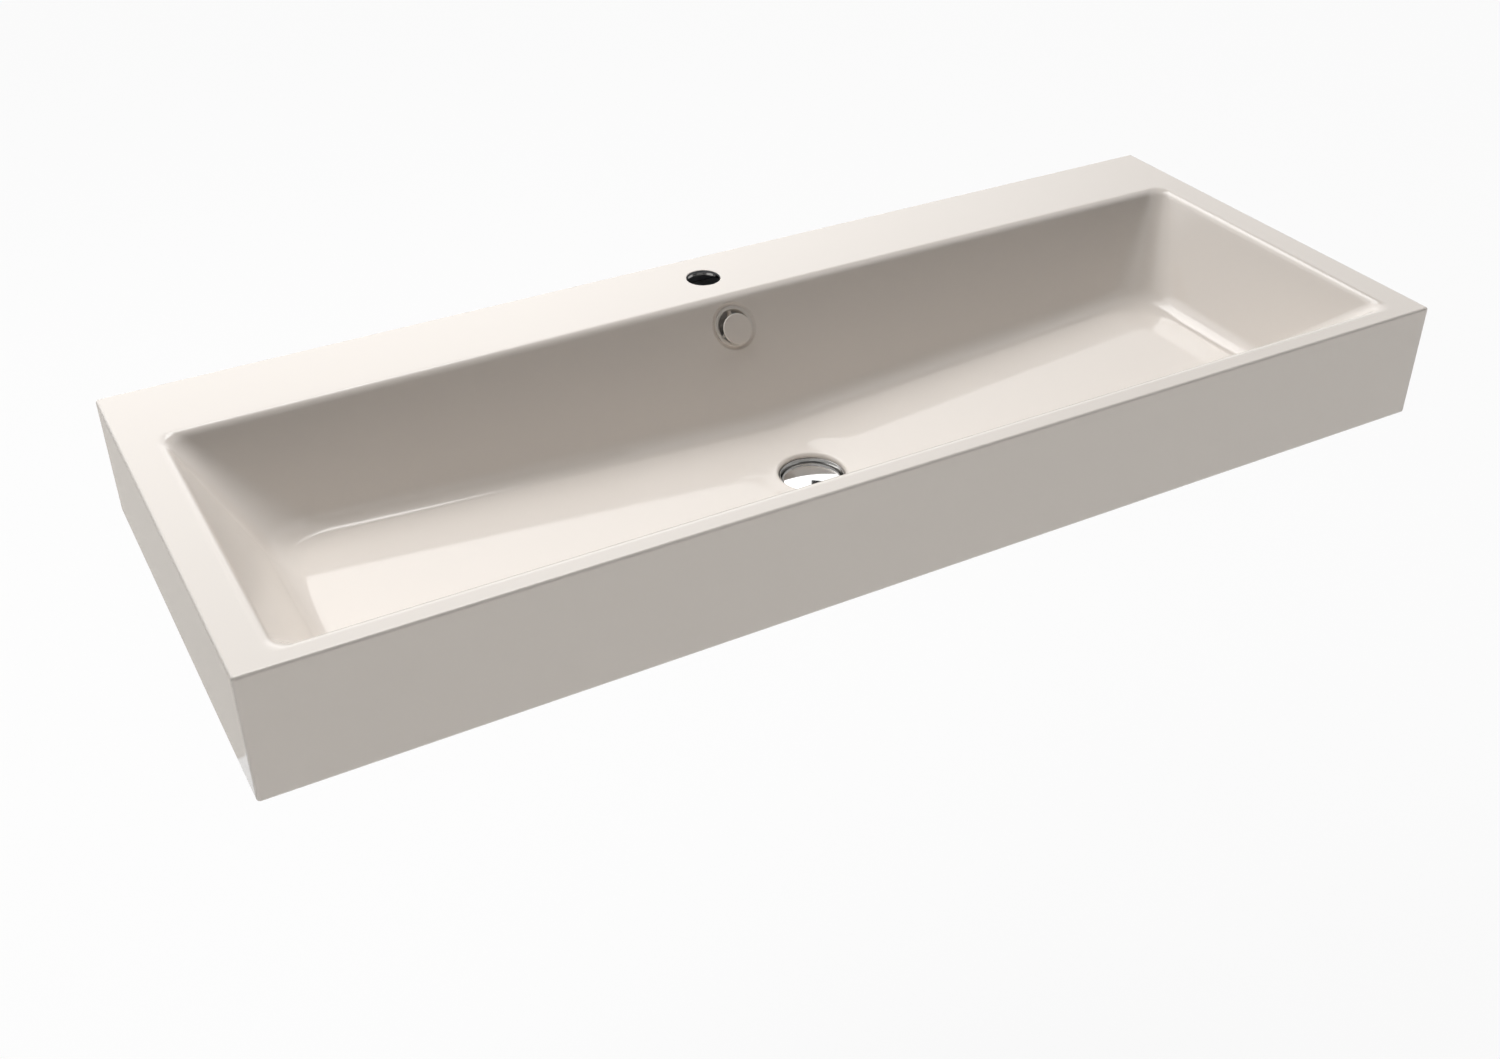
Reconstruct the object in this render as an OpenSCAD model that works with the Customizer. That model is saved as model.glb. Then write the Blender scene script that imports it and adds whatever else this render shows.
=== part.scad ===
// Wall-hung washbasin drawn from one enamelled steel sheet, with its fixing rail,
// overflow set and push-open waste.
// X runs along the wall, +Y points at the wall and +Z is up. The origin lies on the wall,
// midway between the two fixing holes.

/* [Basin] */
// Width along the wall
basin_w = 1200; // [1000:10:1400]
// Depth from the wall to the front apron
basin_d = 460; // [440:5:500]
// Height of the apron
apron_h = 120; // [114:1:140]
// Thickness of the enamelled sheet
sheet_t = 3; // [2:0.5:3.5]
// Width of the apron's return along the bottom
return_w = 14; // [8:1:18]
// Radius of the upright outer corners
outer_corner_r = 3.5; // [3:0.5:8]
// Radius of the upright corners inside the apron
inner_corner_r = 2; // [1:0.5:6]
// Radius of the rim's outer edge and of the apron's bottom edge
edge_r = 2.5; // [1:0.5:3]

/* [Bowl] */
// From the wall to the line where the bowl's back wall leaves the ledge
ledge_w = 96.5; // [92:0.5:110]
// From the side of the apron to the line where the bowl's end wall starts
side_rim_w = 36.5; // [30:0.5:60]
// From the front of the apron to the line where the bowl's front wall starts
front_rim_w = 22.5; // [20:0.5:40]
// Depth of the bowl at the valley that drains it
bowl_depth = 113; // [104:1:118]
// Lean of the bowl's walls from upright, in degrees
wall_lean = 33; // [28:0.5:34]
// Fall of each half of the floor towards the valley, in degrees
floor_tilt = 2.35; // [1:0.05:2.6]
// Radius where the rim turns down into the bowl
rim_r = 12; // [8:0.5:14]
// Radius where the walls turn into the floor
floor_r = 28; // [20:1:32]
// Corner radius of the bowl at the rim
mouth_corner_r = 14; // [12:1:24]
// Corner radius of the bowl at the floor
floor_corner_r = 44; // [36:1:50]

/* [Tap hole] */
// Diameter of the tap hole
tap_hole_d = 35; // [32:0.5:36]
// From the wall to the centre of the tap hole
tap_hole_y = 47.5; // [45:0.5:50]
// Width and depth of the square plate that stiffens the ledge under the tap
tap_plate_w = 70; // [60:1:76]
// Thickness of that plate
tap_plate_t = 2.5; // [2:0.5:4]

/* [Wall fixing] */
// From the side of the apron to a fixing hole
fixing_inset = 150; // [130:5:200]
// From the rim down to the fixing holes
fixing_drop = 55; // [50:1:65]
// Diameter of the bore that takes a fixing bolt
fixing_bore_d = 10.5; // [10.2:0.1:11]
// Diameter of a sleeve where it passes the sheet and the rail
sleeve_d = 16; // [14:0.5:18]
// Diameter of a sleeve's collar
sleeve_collar_d = 28; // [22:1:32]
// Thickness of a sleeve's collar
sleeve_collar_t = 3; // [2:0.5:4]
// From a fixing hole to the near end of the rail
rail_margin = 90; // [60:5:110]
// Height of the rail
rail_h = 60; // [50:1:70]
// Depth of the rail's legs
rail_depth = 22; // [16:1:26]
// Thickness of the rail
rail_t = 2.5; // [2:0.5:4]
// Inner bend radius of the rail
rail_bend_r = 2.5; // [1:0.5:4]

/* [Damping pads] */
// Length of a pad
pad_l = 300; // [200:10:340]
// Width of a pad
pad_w = 150; // [100:5:160]
// Thickness of a pad
pad_t = 4; // [2:0.5:6]
// From the valley to the near end of a pad
pad_start = 110; // [90:5:140]
// Layer of adhesive over a pad
pad_glue = 0.2; // [0.1:0.1:0.5]

/* [Overflow] */
// From the rim down to the middle of the overflow
overflow_drop = 26; // [25:0.5:30]
// Diameter of the overflow hole
overflow_hole_d = 36; // [34:0.5:38]
// Diameter of the pressed dish round the hole
dish_d = 50; // [46:0.5:52]
// Depth of that dish
dish_depth = 1.5; // [1:0.1:2]
// Diameter of the cap
cap_d = 32; // [28:0.5:33]
// Thickness of the cap
cap_t = 4; // [3:0.5:5]
// Height of the cap's back over the wall of the bowl
cap_standoff = 3.5; // [2:0.5:5]
// From the overflow's axis down the wall to the middle of the cap
cap_drop = 3.7; // [0:0.1:5]
// Radius of the cap's edge
cap_edge_r = 1.2; // [0.5:0.1:1.4]
// Inner diameter of the insert's ring
insert_bore_d = 31; // [28:0.5:32]
// Diameter of the insert's front collar
insert_collar_d = 41; // [39:0.5:43]
// Thickness of that collar
insert_collar_t = 1.5; // [1:0.1:2]
// Length of the insert's ring behind the collar
insert_l = 10; // [8:0.5:12]
// Diameter of the insert's hub
hub_d = 12; // [11:0.5:14]
// Number of spokes that carry the hub
spoke_count = 3; // [3:1:4]
// Width of a spoke
spoke_w = 3; // [2:0.5:4]
// Depth of a spoke
spoke_depth = 5; // [3:0.5:6]
// Diameter of the screw that clamps the overflow
overflow_screw_d = 5; // [4:0.5:6]
// Diameter of its head
overflow_screw_head_d = 8.5; // [7.5:0.5:9]
// Height of its head
overflow_screw_head_h = 3.5; // [2.5:0.5:4]
// Width across flats of its hexagon socket
overflow_key_w = 4; // [3:0.5:4.5]
// Depth of the socket
overflow_key_depth = 2; // [1.5:0.5:2.5]
// Outer diameter of the gasket and of the elbow's flange
gasket_d = 52; // [50:0.5:54]
// Thickness of the gasket
gasket_t = 3; // [2:0.5:4]

/* [Elbow] */
// Thickness of the elbow's flange
elbow_flange_t = 3; // [2:0.5:4]
// Outer diameter of the elbow's cup
elbow_cup_d = 43; // [42:0.5:46]
// Depth of the elbow from its flange to its back
elbow_depth = 20; // [18:0.5:22]
// Wall of the elbow
elbow_wall = 2.2; // [1.8:0.1:2.6]
// Diameter of the boss that takes the screw
elbow_boss_d = 10; // [9:0.5:12]
// Outer diameter of the elbow's down tube
elbow_tube_d = 22; // [20:0.5:24]
// From the rim to the end of the elbow's socket
elbow_drop = 76; // [72:1:80]

/* [Overflow hose] */
// Outer diameter over the ribs
hose_d = 24; // [22:0.5:25]
// Diameter between the ribs
hose_root_d = 20.6; // [19:0.1:21.5]
// Inner diameter
hose_bore_d = 17; // [15:0.5:18]
// Distance from rib to rib
hose_pitch = 4; // [3.5:0.1:5]
// Radius of the hose's bend
hose_bend_r = 56; // [50:1:60]
// Length of hose held in a socket
hose_plug_in = 12; // [10:0.5:13]
// Outer diameter of the threaded sockets
socket_d = 30; // [29:0.5:32]
// Length of the threaded sockets
socket_l = 15; // [14:0.5:18]
// Length of a hose seal
hose_seal_l = 4; // [3:0.5:5]
// Outer diameter of a hose nut across its corners
hose_nut_d = 38; // [36:0.5:42]
// Length of a hose nut
hose_nut_l = 18; // [15:0.5:20]
// Thickness of a hose nut's shoulder
hose_nut_shoulder = 2.5; // [2:0.5:3.5]

/* [Waste] */
// From the wall to the centre of the waste
waste_y = 270; // [264:0.5:276]
// Diameter of the recess that is drawn round the waste
recess_d = 65; // [62:0.5:70]
// Depth of that recess below the valley
recess_depth = 18; // [17:0.5:20]
// Radius of the recess's lip
lip_r = 3.5; // [2:0.5:4]
// Radius inside the foot of the recess
recess_foot_r = 2; // [1:0.5:3]
// Diameter of the waste hole
waste_hole_d = 46; // [45.5:0.5:48]
// Clearance between the waste's cup and the recess
cup_gap = 0.6; // [0.4:0.1:1]
// Wall of the cup
cup_wall = 1.4; // [1:0.1:2]
// From the valley down to the cup's edge
cup_drop = 4; // [3.5:0.5:5]
// Thickness of the cup's floor
cup_floor_t = 2.5; // [2:0.5:3]
// Thickness of the flat seal under the cup
flange_seal_t = 1.5; // [1:0.5:2]
// Outer diameter of the waste's threaded shank
shank_d = 44.6; // [43:0.2:45]
// Bore of the shank down to the ledge that carries the cartridge
shank_bore_d = 38; // [36:0.5:39]
// Bore of the shank below that ledge
shank_low_bore_d = 35; // [33:0.5:35.5]
// Length of the shank below the cup's floor
shank_l = 27; // [25:0.5:30]
// From the cup's floor down to the ledge
ledge_depth = 18; // [16:0.5:19]
// Outer diameter of the thick seal, the slip washer and the body's flange
body_flange_d = 68; // [64:0.5:72]
// Thickness of the thick seal under the sheet
body_seal_t = 5; // [4:0.5:6]
// Thickness of the slip washer
slip_washer_t = 1.5; // [1:0.5:2]
// Thickness of the body's flange
body_flange_t = 5; // [4:0.5:6]
// Outer diameter of the body
body_d = 54; // [52:0.5:58]
// Height of the body below its flange
body_h = 38; // [36:0.5:44]
// Inner diameter of the body's chamber
chamber_d = 46; // [45:0.5:48]
// Outer diameter of the tailpiece
tail_d = 41.9; // [41:0.1:42]
// Bore of the tailpiece
tail_bore_d = 36; // [34:0.5:37]
// Length of the tailpiece
tail_l = 34; // [28:1:45]
// Thickness of the body's floor
body_floor_t = 4; // [3:0.5:5]
// From the body's axis to the end of its side socket
port_reach = 56; // [52:0.5:60]
// From the floor of the body up to the middle of its side socket
port_rise = 17; // [16:0.5:18]

/* [Plug] */
// Diameter of the plug's cap
plug_d = 60; // [56:0.5:60.5]
// Height of the cap from its lower edge to its crown
plug_h = 7; // [6.6:0.1:7.4]
// Gap between the cap's lower edge and the cup's floor when shut
plug_edge_gap = 0.6; // [0.5:0.1:1]
// Height of the cap's crown over its shoulder
crown_h = 1.6; // [1:0.1:2]
// Radius of the cap's shoulder
shoulder_r = 3; // [2:0.5:3.5]
// Wall of the cap
plug_wall = 1.2; // [1:0.1:1.4]
// Diameter of the disc that clips into the cap
plug_disc_d = 50; // [46:0.5:54]
// Thickness of that disc
plug_disc_t = 2; // [1.5:0.1:2.2]
// Outer diameter of the plug's seal
plug_seal_d = 54; // [52:0.5:56]
// Inner diameter of the plug's seal
plug_seal_bore_d = 44; // [40:0.5:46]
// Thickness of the plug's seal
plug_seal_t = 1.6; // [1.2:0.1:1.8]
// Gap left between the seal and its seat
seat_gap = 0.3; // [0.2:0.1:0.4]
// Diameter of the disc's threaded neck
neck_d = 12; // [10:0.5:13]
// Length of that neck
neck_l = 6; // [4:0.5:7]
// How far the plug rises when it clicks open
plug_travel = 8; // [6:0.5:8]

/* [Click cartridge] */
// Diameter of the plug's stem
stem_d = 6; // [5:0.5:6.5]
// Diameter of the cartridge's bore
cartridge_bore_d = 11; // [10.5:0.5:12]
// Wall of the cartridge
cartridge_wall = 2.2; // [1.8:0.1:2.6]
// Depth of the cartridge below the shank's ledge
cartridge_depth = 26; // [24:0.5:30]
// Thickness of the cartridge's floor
cartridge_floor_t = 2; // [1.5:0.5:3]
// Height of the cartridge's ring and spokes
cartridge_ring_h = 4; // [3:0.5:5]
// Width of the cartridge's ring
cartridge_ring_w = 2.5; // [2:0.5:3]
// Number of spokes between the ring and the barrel
cartridge_spokes = 4; // [3:1:6]
// Width of such a spoke
cartridge_spoke_w = 2.5; // [2:0.5:3.5]
// Height of the barrel over the ledge
barrel_rise = 6; // [5:0.5:7]
// Thickness of the cartridge's screwed cap
cartridge_cap_t = 3; // [2:0.5:3.5]
// Height of the piston on the stem
piston_h = 5; // [4:0.5:6]
// Wire of the click spring
spring_wire_d = 1; // [0.8:0.1:1.2]
// Turns of the click spring
spring_turns = 6; // [4:1:7]

/* [Clearances] */
// Radial clearance of a running fit
running_gap = 0.08; // [0.05:0.01:0.1]
// Radial clearance of a fixed fit
fixed_gap = 0.15; // [0.1:0.05:0.3]
// Radial clearance round the hose
hose_gap = 0.3; // [0.2:0.1:0.5]

/* [Hidden] */
$fn = 64;

// Colours of the finishes
enamel = [0.93, 0.91, 0.88];
chrome = [0.80, 0.81, 0.83];
zinc = [0.72, 0.73, 0.72];
rubber = [0.12, 0.12, 0.12];
nylon = [0.86, 0.86, 0.84];
black_plastic = [0.16, 0.16, 0.17];
white_plastic = [0.90, 0.90, 0.90];
bitumen = [0.20, 0.19, 0.18];

// Overrun of every cut past the face that it opens
over = 1;

// Steps round a bowl corner, a rim turn, a floor turn and an outer edge
corner_steps = 8;
rim_steps = 5;
floor_steps = 7;
edge_steps = 3;

// Heights, from the fixing holes
rim_z = fixing_drop;
valley_z = rim_z - bowl_depth;
apron_foot_z = rim_z - apron_h;

// Plan of the bowl's mouth, as half sizes round its own centre
bowl_half_w = basin_w / 2 - side_rim_w;
bowl_half_d = (basin_d - ledge_w - front_rim_w) / 2;
bowl_mid_y = -ledge_w - bowl_half_d;
wall_rise = 90 - wall_lean;
floor_slope = tan(floor_tilt);

// Inset of an end wall's foot from the mouth, where the corners reach their full radius
foot_inset = (bowl_depth - floor_slope * bowl_half_w) * tan(wall_lean);
corner_growth = (floor_corner_r - mouth_corner_r) / foot_inset;

// Columns of points round the basin: side signs, angle, and 1 for a column in a corner
columns = concat(
    [for (i = [0 : corner_steps]) [1, 1, 90 * i / corner_steps, 1]],
    [[0, 1, 90, 0]],
    [for (i = [0 : corner_steps]) [-1, 1, 90 + 90 * i / corner_steps, 1]],
    [for (i = [0 : corner_steps]) [-1, -1, 180 + 90 * i / corner_steps, 1]],
    [[0, -1, 270, 0]],
    [for (i = [0 : corner_steps]) [1, -1, 270 + 90 * i / corner_steps, 1]]
);

// Point of column c on a rounded rectangle of half sizes a and b, corner radius r
function round_rect(c, mid_y, a, b, r) = [
    c[0] * (a - r * c[3]) + r * c[3] * cos(c[2]),
    mid_y + c[1] * (b - r * c[3]) + r * c[3] * sin(c[2])
];

// Depth of the floor below the rim at a distance x from the valley
function floor_depth(x) = bowl_depth - floor_slope * abs(x);

// Plan of the bowl's skin at an inset d, for a skin that lies off behind the enamel
function bowl_plan(c, d, off) =
    round_rect(c, bowl_mid_y, bowl_half_w - d, bowl_half_d - d,
        mouth_corner_r + corner_growth * (d + off) + off);

// Depth of the floor where the wall of column c meets it
function column_depth(c) = floor_depth(bowl_plan(c, foot_inset, 0)[0]);

// Inset where the skin's wall would meet its rim plane without a radius
function skin_start(off) = -off * tan(wall_rise / 2);

// Ring of points along the turn from the rim into the wall
function rim_ring(step, off) =
    let (turn = wall_rise * step / rim_steps, r = rim_r - off)
    let (d = skin_start(off) - r * tan(wall_rise / 2) + r * sin(turn))
    [for (c = columns) concat(bowl_plan(c, d, off), [rim_z - off - r * (1 - cos(turn))])];

// Ring of points along the turn from the wall into the floor
function floor_ring(step, off) =
    let (turn = wall_rise * (1 - step / floor_steps), r = floor_r + off)
    [for (c = columns)
        let (foot = column_depth(c))
        let (d = skin_start(off) + foot * tan(wall_lean) + r * (tan(wall_rise / 2) - sin(turn)))
        let (p = bowl_plan(c, d, off))
        let (depth = foot + (floor_depth(p[0]) - foot) * step / floor_steps)
        concat(p, [rim_z - off - depth + r * (1 - cos(turn))])];

// Ring round the apron at an inset e and a height z
function apron_ring(e, z, r) =
    [for (c = columns) concat(round_rect(c, -basin_d / 2, basin_w / 2 - e, basin_d / 2 - e, r), [z])];

// Rings from the middle of the floor over the rim, down the apron and back underneath
sheet_rings = concat(
    [for (i = [floor_steps : -1 : 0]) floor_ring(i, 0)],
    [for (i = [rim_steps : -1 : 0]) rim_ring(i, 0)],
    [for (i = [0 : edge_steps])
        let (a = 90 * i / edge_steps)
        let (e = edge_r * (1 - sin(a)))
        apron_ring(e, rim_z - edge_r * (1 - cos(a)), outer_corner_r - e)],
    [for (i = [0 : edge_steps])
        let (a = 90 * i / edge_steps)
        let (e = edge_r * (1 - cos(a)))
        apron_ring(e, apron_foot_z + edge_r * (1 - sin(a)), outer_corner_r - e)],
    [
        apron_ring(return_w, apron_foot_z, inner_corner_r),
        apron_ring(return_w, apron_foot_z + sheet_t, inner_corner_r),
        apron_ring(sheet_t, apron_foot_z + sheet_t, inner_corner_r),
        apron_ring(sheet_t, rim_z - sheet_t, inner_corner_r)
    ],
    [for (i = [0 : rim_steps]) rim_ring(i, sheet_t)],
    [for (i = [0 : floor_steps]) floor_ring(i, sheet_t)]
);

// Closed skin through a list of rings, with a point that closes each end
module ring_skin(rings, first, last) {
    n = len(rings[0]);
    m = len(rings);
    points = concat([first], [for (ring = rings) each ring], [last]);
    polyhedron(points, concat(
        [for (i = [0 : n - 1]) [0, 1 + (i + 1) % n, 1 + i]],
        [for (j = [0 : m - 2]) for (i = [0 : n - 1])
            let (a = 1 + j * n + i, b = 1 + j * n + (i + 1) % n)
            each [[a, b, b + n], [a, b + n, a + n]]],
        [for (i = [0 : n - 1]) [m * n + 1, 1 + (m - 1) * n + i, 1 + (m - 1) * n + (i + 1) % n]]
    ));
}

module sheet() {
    ring_skin(sheet_rings, [0, -waste_y, valley_z], [0, -waste_y, valley_z - sheet_t]);
}

// Places children on the waste's axis, at the level of the valley
module at_waste() {
    translate([0, -waste_y, valley_z]) children();
}

// Places children on the overflow's axis, which points out of the back wall into the bowl
module at_overflow() {
    translate([0, -ledge_w - overflow_drop * tan(wall_lean), rim_z - overflow_drop])
        rotate([wall_rise, 0, 0]) children();
}

// Ring with a square section
module ring(r_out, r_in, h) {
    rotate_extrude() translate([r_in, 0]) square([r_out - r_in, h]);
}

// Quarter round from angle a0 to a1 about a centre, as outline points
function arc(cx, cy, r, a0, a1, steps = 6) =
    [for (i = [0 : steps]) let (a = a0 + (a1 - a0) * i / steps) [cx + r * cos(a), cy + r * sin(a)]];

/* Basin */

recess_r = recess_d / 2;
recess_foot_z = -recess_depth;

// Hollow of the recess: a lip, a wall and a rounded foot
module recess_hollow() {
    rotate_extrude() polygon(concat(
        [[0, over], [recess_r + lip_r, over]],
        arc(recess_r + lip_r, -lip_r, lip_r, 90, 180),
        arc(recess_r - recess_foot_r, recess_foot_z + recess_foot_r, recess_foot_r, 0, -90),
        [[0, recess_foot_z]]
    ));
}

// Cup of sheet that hangs under the floor round the recess
module recess_cup() {
    translate([0, 0, recess_foot_z - sheet_t])
        cylinder(r = recess_r + sheet_t, h = recess_depth + sheet_t * 2 / 3);
}

dish_r = dish_d / 2;

// Shallow dish pressed into the back wall, with a flat bottom round the hole
module dish_hollow() {
    rotate_extrude() polygon([
        [0, over], [dish_r + over, over], [dish_r, 0],
        [insert_collar_d / 2 + fixed_gap, -dish_depth], [0, -dish_depth]
    ]);
}

module basin() {
    color(enamel) difference() {
        union() {
            sheet();
            at_waste() recess_cup();
            at_overflow() translate([0, 0, -sheet_t - dish_depth])
                cylinder(d = gasket_d, h = dish_depth + sheet_t / 2);
        }
        at_waste() recess_hollow();
        at_waste() translate([0, 0, recess_foot_z - sheet_t - over])
            cylinder(d = waste_hole_d, h = sheet_t + over * 2);
        at_overflow() dish_hollow();
        at_overflow() translate([0, 0, -sheet_t - dish_depth - over])
            cylinder(d = overflow_hole_d, h = sheet_t + dish_depth + over);
        translate([0, -tap_hole_y, rim_z - sheet_t - over])
            cylinder(d = tap_hole_d, h = sheet_t + over * 2);
        at_fixings() translate([0, 0, -over])
            cylinder(d = sleeve_d + fixed_gap * 2, h = sheet_t + over * 2);
    }
}

/* Wall fixing */

fixing_span = basin_w - fixing_inset * 2;
rail_l = fixing_span + rail_margin * 2;

// Places children at both fixing holes, with +Z pointing away from the wall
module at_fixings() {
    for (side = [-1, 1])
        translate([side * fixing_span / 2, 0, 0]) rotate([90, 0, 0]) children();
}

// Outline of the channel, with its web at the back and rounded bends
rail_out_r = rail_bend_r + rail_t;
rail_outline = concat(
    [[0, rail_h / 2 - rail_out_r]],
    arc(rail_out_r, rail_h / 2 - rail_out_r, rail_out_r, 180, 90),
    [[rail_depth, rail_h / 2], [rail_depth, rail_h / 2 - rail_t]],
    arc(rail_out_r, rail_h / 2 - rail_out_r, rail_bend_r, 90, 180),
    arc(rail_out_r, rail_out_r - rail_h / 2, rail_bend_r, 180, 270),
    [[rail_depth, rail_t - rail_h / 2], [rail_depth, -rail_h / 2]],
    arc(rail_out_r, rail_out_r - rail_h / 2, rail_out_r, 270, 180)
);

module rear_rail() {
    color(zinc) difference() {
        translate([rail_l / 2, -sheet_t, 0]) rotate([90, 0, -90]) linear_extrude(rail_l)
            polygon(rail_outline);
        at_fixings() cylinder(d = sleeve_d + fixed_gap * 2, h = sheet_t + rail_t + over);
    }
}

module wall_sleeves() {
    color(nylon) at_fixings() difference() {
        union() {
            cylinder(d = sleeve_d, h = sheet_t + rail_t);
            translate([0, 0, sheet_t + rail_t]) cylinder(d = sleeve_collar_d, h = sleeve_collar_t);
        }
        translate([0, 0, -over])
            cylinder(d = fixing_bore_d, h = sheet_t + rail_t + sleeve_collar_t + over * 2);
    }
}

module tap_plate() {
    color(zinc) translate([0, -tap_hole_y, rim_z - sheet_t - tap_plate_t]) difference() {
        translate([-tap_plate_w / 2, -tap_plate_w / 2, 0])
            cube([tap_plate_w, tap_plate_w, tap_plate_t]);
        translate([0, 0, -over])
            cylinder(d = tap_hole_d + fixed_gap * 4, h = tap_plate_t + over * 2);
    }
}

/* Damping pads */

module damping_pads() {
    color(bitumen) for (side = [0, 1]) mirror([side, 0, 0])
        translate([0, bowl_mid_y, valley_z - sheet_t]) rotate([0, -floor_tilt, 0])
            translate([pad_start, -pad_w / 2, -pad_t - pad_glue]) cube([pad_l, pad_w, pad_t]);
}

/* Overflow */

insert_r = overflow_hole_d / 2 - fixed_gap;
hub_top = cap_standoff - fixed_gap;
spoke_top = -dish_depth;
screw_seat = hub_top - overflow_screw_head_h;
gasket_back = -sheet_t - dish_depth - gasket_t;
elbow_back = gasket_back - elbow_depth;
boss_top = spoke_top - spoke_depth - fixed_gap;
clip_wall = 1.2;

module overflow_cap() {
    color(enamel) at_overflow() translate([0, 0, cap_standoff]) {
        translate([0, -cap_drop, 0]) rotate_extrude() polygon(concat(
            [[0, 0], [cap_d / 2, 0]],
            arc(cap_d / 2 - cap_edge_r, cap_t - cap_edge_r, cap_edge_r, 0, 90),
            [[0, cap_t]]
        ));
        translate([0, 0, -cap_standoff - dish_depth + fixed_gap])
            ring(hub_d / 2 + fixed_gap + clip_wall, hub_d / 2 + fixed_gap,
                cap_standoff + dish_depth);
    }
}

module overflow_insert() {
    color(black_plastic) at_overflow() difference() {
        union() {
            difference() {
                union() {
                    translate([0, 0, -dish_depth])
                        cylinder(d = insert_collar_d, h = insert_collar_t);
                    translate([0, 0, -dish_depth - insert_l])
                        cylinder(r = insert_r, h = insert_l + insert_collar_t / 2);
                }
                translate([0, 0, -dish_depth - insert_l - over])
                    cylinder(d = insert_bore_d, h = insert_l + insert_collar_t + over * 2);
            }
            for (i = [0 : spoke_count - 1]) rotate([0, 0, 360 * i / spoke_count])
                translate([-spoke_w / 2, 0, spoke_top - spoke_depth])
                    cube([spoke_w, (insert_bore_d / 2 + insert_r) / 2, spoke_depth]);
            translate([0, 0, spoke_top - spoke_depth])
                cylinder(d = hub_d, h = hub_top - spoke_top + spoke_depth);
        }
        translate([0, 0, screw_seat])
            cylinder(d = overflow_screw_head_d + fixed_gap * 2, h = overflow_screw_head_h + over);
        translate([0, 0, spoke_top - spoke_depth - over])
            cylinder(d = overflow_screw_d + fixed_gap * 2, h = screw_seat - spoke_top + spoke_depth + over * 2);
    }
}

module overflow_screw() {
    color(chrome) at_overflow() difference() {
        union() {
            translate([0, 0, screw_seat])
                cylinder(d = overflow_screw_head_d, h = overflow_screw_head_h - fixed_gap);
            translate([0, 0, elbow_back + elbow_wall])
                cylinder(d = overflow_screw_d, h = screw_seat - elbow_back - elbow_wall);
        }
        translate([0, 0, hub_top - fixed_gap - overflow_key_depth])
            cylinder(d = overflow_key_w, h = overflow_key_depth + over, $fn = 6);
    }
}

module overflow_gasket() {
    color(rubber) at_overflow() translate([0, 0, gasket_back])
        ring(gasket_d / 2, insert_r + fixed_gap, gasket_t);
}

// The down tube hangs from the middle of the cup's depth
elbow_axis_y = -ledge_w - overflow_drop * tan(wall_lean) - (gasket_back + elbow_back) / 2 * cos(wall_lean);
elbow_top_z = rim_z - overflow_drop + (gasket_back + elbow_back) / 2 * sin(wall_lean);
elbow_foot_z = rim_z - elbow_drop;
socket_r = socket_d / 2;
hose_r = hose_d / 2;

module overflow_elbow() {
    color(white_plastic) difference() {
        union() {
            at_overflow() translate([0, 0, gasket_back - elbow_flange_t])
                cylinder(d = gasket_d, h = elbow_flange_t);
            at_overflow() translate([0, 0, elbow_back])
                cylinder(d = elbow_cup_d, h = elbow_depth - elbow_flange_t / 2);
            translate([0, elbow_axis_y, elbow_foot_z])
                cylinder(d = elbow_tube_d, h = elbow_top_z - elbow_foot_z);
            translate([0, elbow_axis_y, elbow_foot_z]) cylinder(r = socket_r, h = socket_l);
        }
        at_overflow() difference() {
            translate([0, 0, elbow_back + elbow_wall])
                cylinder(d = elbow_cup_d - elbow_wall * 2, h = elbow_depth);
            translate([0, 0, elbow_back]) cylinder(d = elbow_boss_d, h = boss_top - elbow_back);
        }
        translate([0, elbow_axis_y, elbow_foot_z - over])
            cylinder(d = elbow_tube_d - elbow_wall * 2, h = elbow_top_z - elbow_foot_z);
        translate([0, elbow_axis_y, elbow_foot_z - over])
            cylinder(r = hose_r + hose_gap, h = hose_plug_in + over);
        at_overflow() translate([0, 0, elbow_back + elbow_wall])
            cylinder(r = overflow_screw_d / 2 + fixed_gap, h = boss_top - elbow_back);
    }
}

/* Overflow hose */

// Levels of the waste, from the valley
cup_floor_z = recess_foot_z + flange_seal_t;
body_top_z = recess_foot_z - sheet_t - body_seal_t - slip_washer_t;
body_foot_z = body_top_z - body_flange_t - body_h;
port_z = body_foot_z + port_rise;

// The hose drops from the elbow, turns forwards and ends in the body's side socket
hose_top_z = elbow_foot_z + hose_plug_in - fixed_gap;
hose_end_y = -waste_y + port_reach - hose_plug_in + fixed_gap;
hose_low_z = valley_z + port_z;
hose_drop_l = hose_top_z - hose_low_z - hose_bend_r;
hose_bend_l = hose_bend_r * PI / 2;
hose_run_l = elbow_axis_y - hose_bend_r - hose_end_y;
hose_l = hose_drop_l + hose_bend_l + hose_run_l;
hose_sides = 8;

// Place and heading, in degrees below level, at a length s along the hose
function hose_place(s) =
    s < hose_drop_l ? [elbow_axis_y, hose_top_z - s, 90] :
    s < hose_drop_l + hose_bend_l ?
        let (a = (s - hose_drop_l) / hose_bend_l * 90)
        [elbow_axis_y - hose_bend_r * (1 - cos(a)), hose_low_z + hose_bend_r * (1 - sin(a)), 90 - a] :
    [elbow_axis_y - hose_bend_r - (s - hose_drop_l - hose_bend_l), hose_low_z, 0];

// Ring of the hose at a length s, square to the route
function hose_ring(s, r) =
    let (p = hose_place(s))
    [for (i = [0 : hose_sides - 1])
        let (a = 360 * (i + 1 / 2) / hose_sides)
        [r * cos(a), p[0] + r * sin(a) * sin(p[2]), p[1] - r * sin(a) * cos(p[2])]];

// Where the root and the crest of a rib lie, as shares of the pitch
root_share = 0.35;
crest_share = 0.85;
rib_start = hose_plug_in + hose_seal_l + hose_nut_shoulder + hose_pitch;
rib_count = floor((hose_l - rib_start * 2) / hose_pitch);

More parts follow.
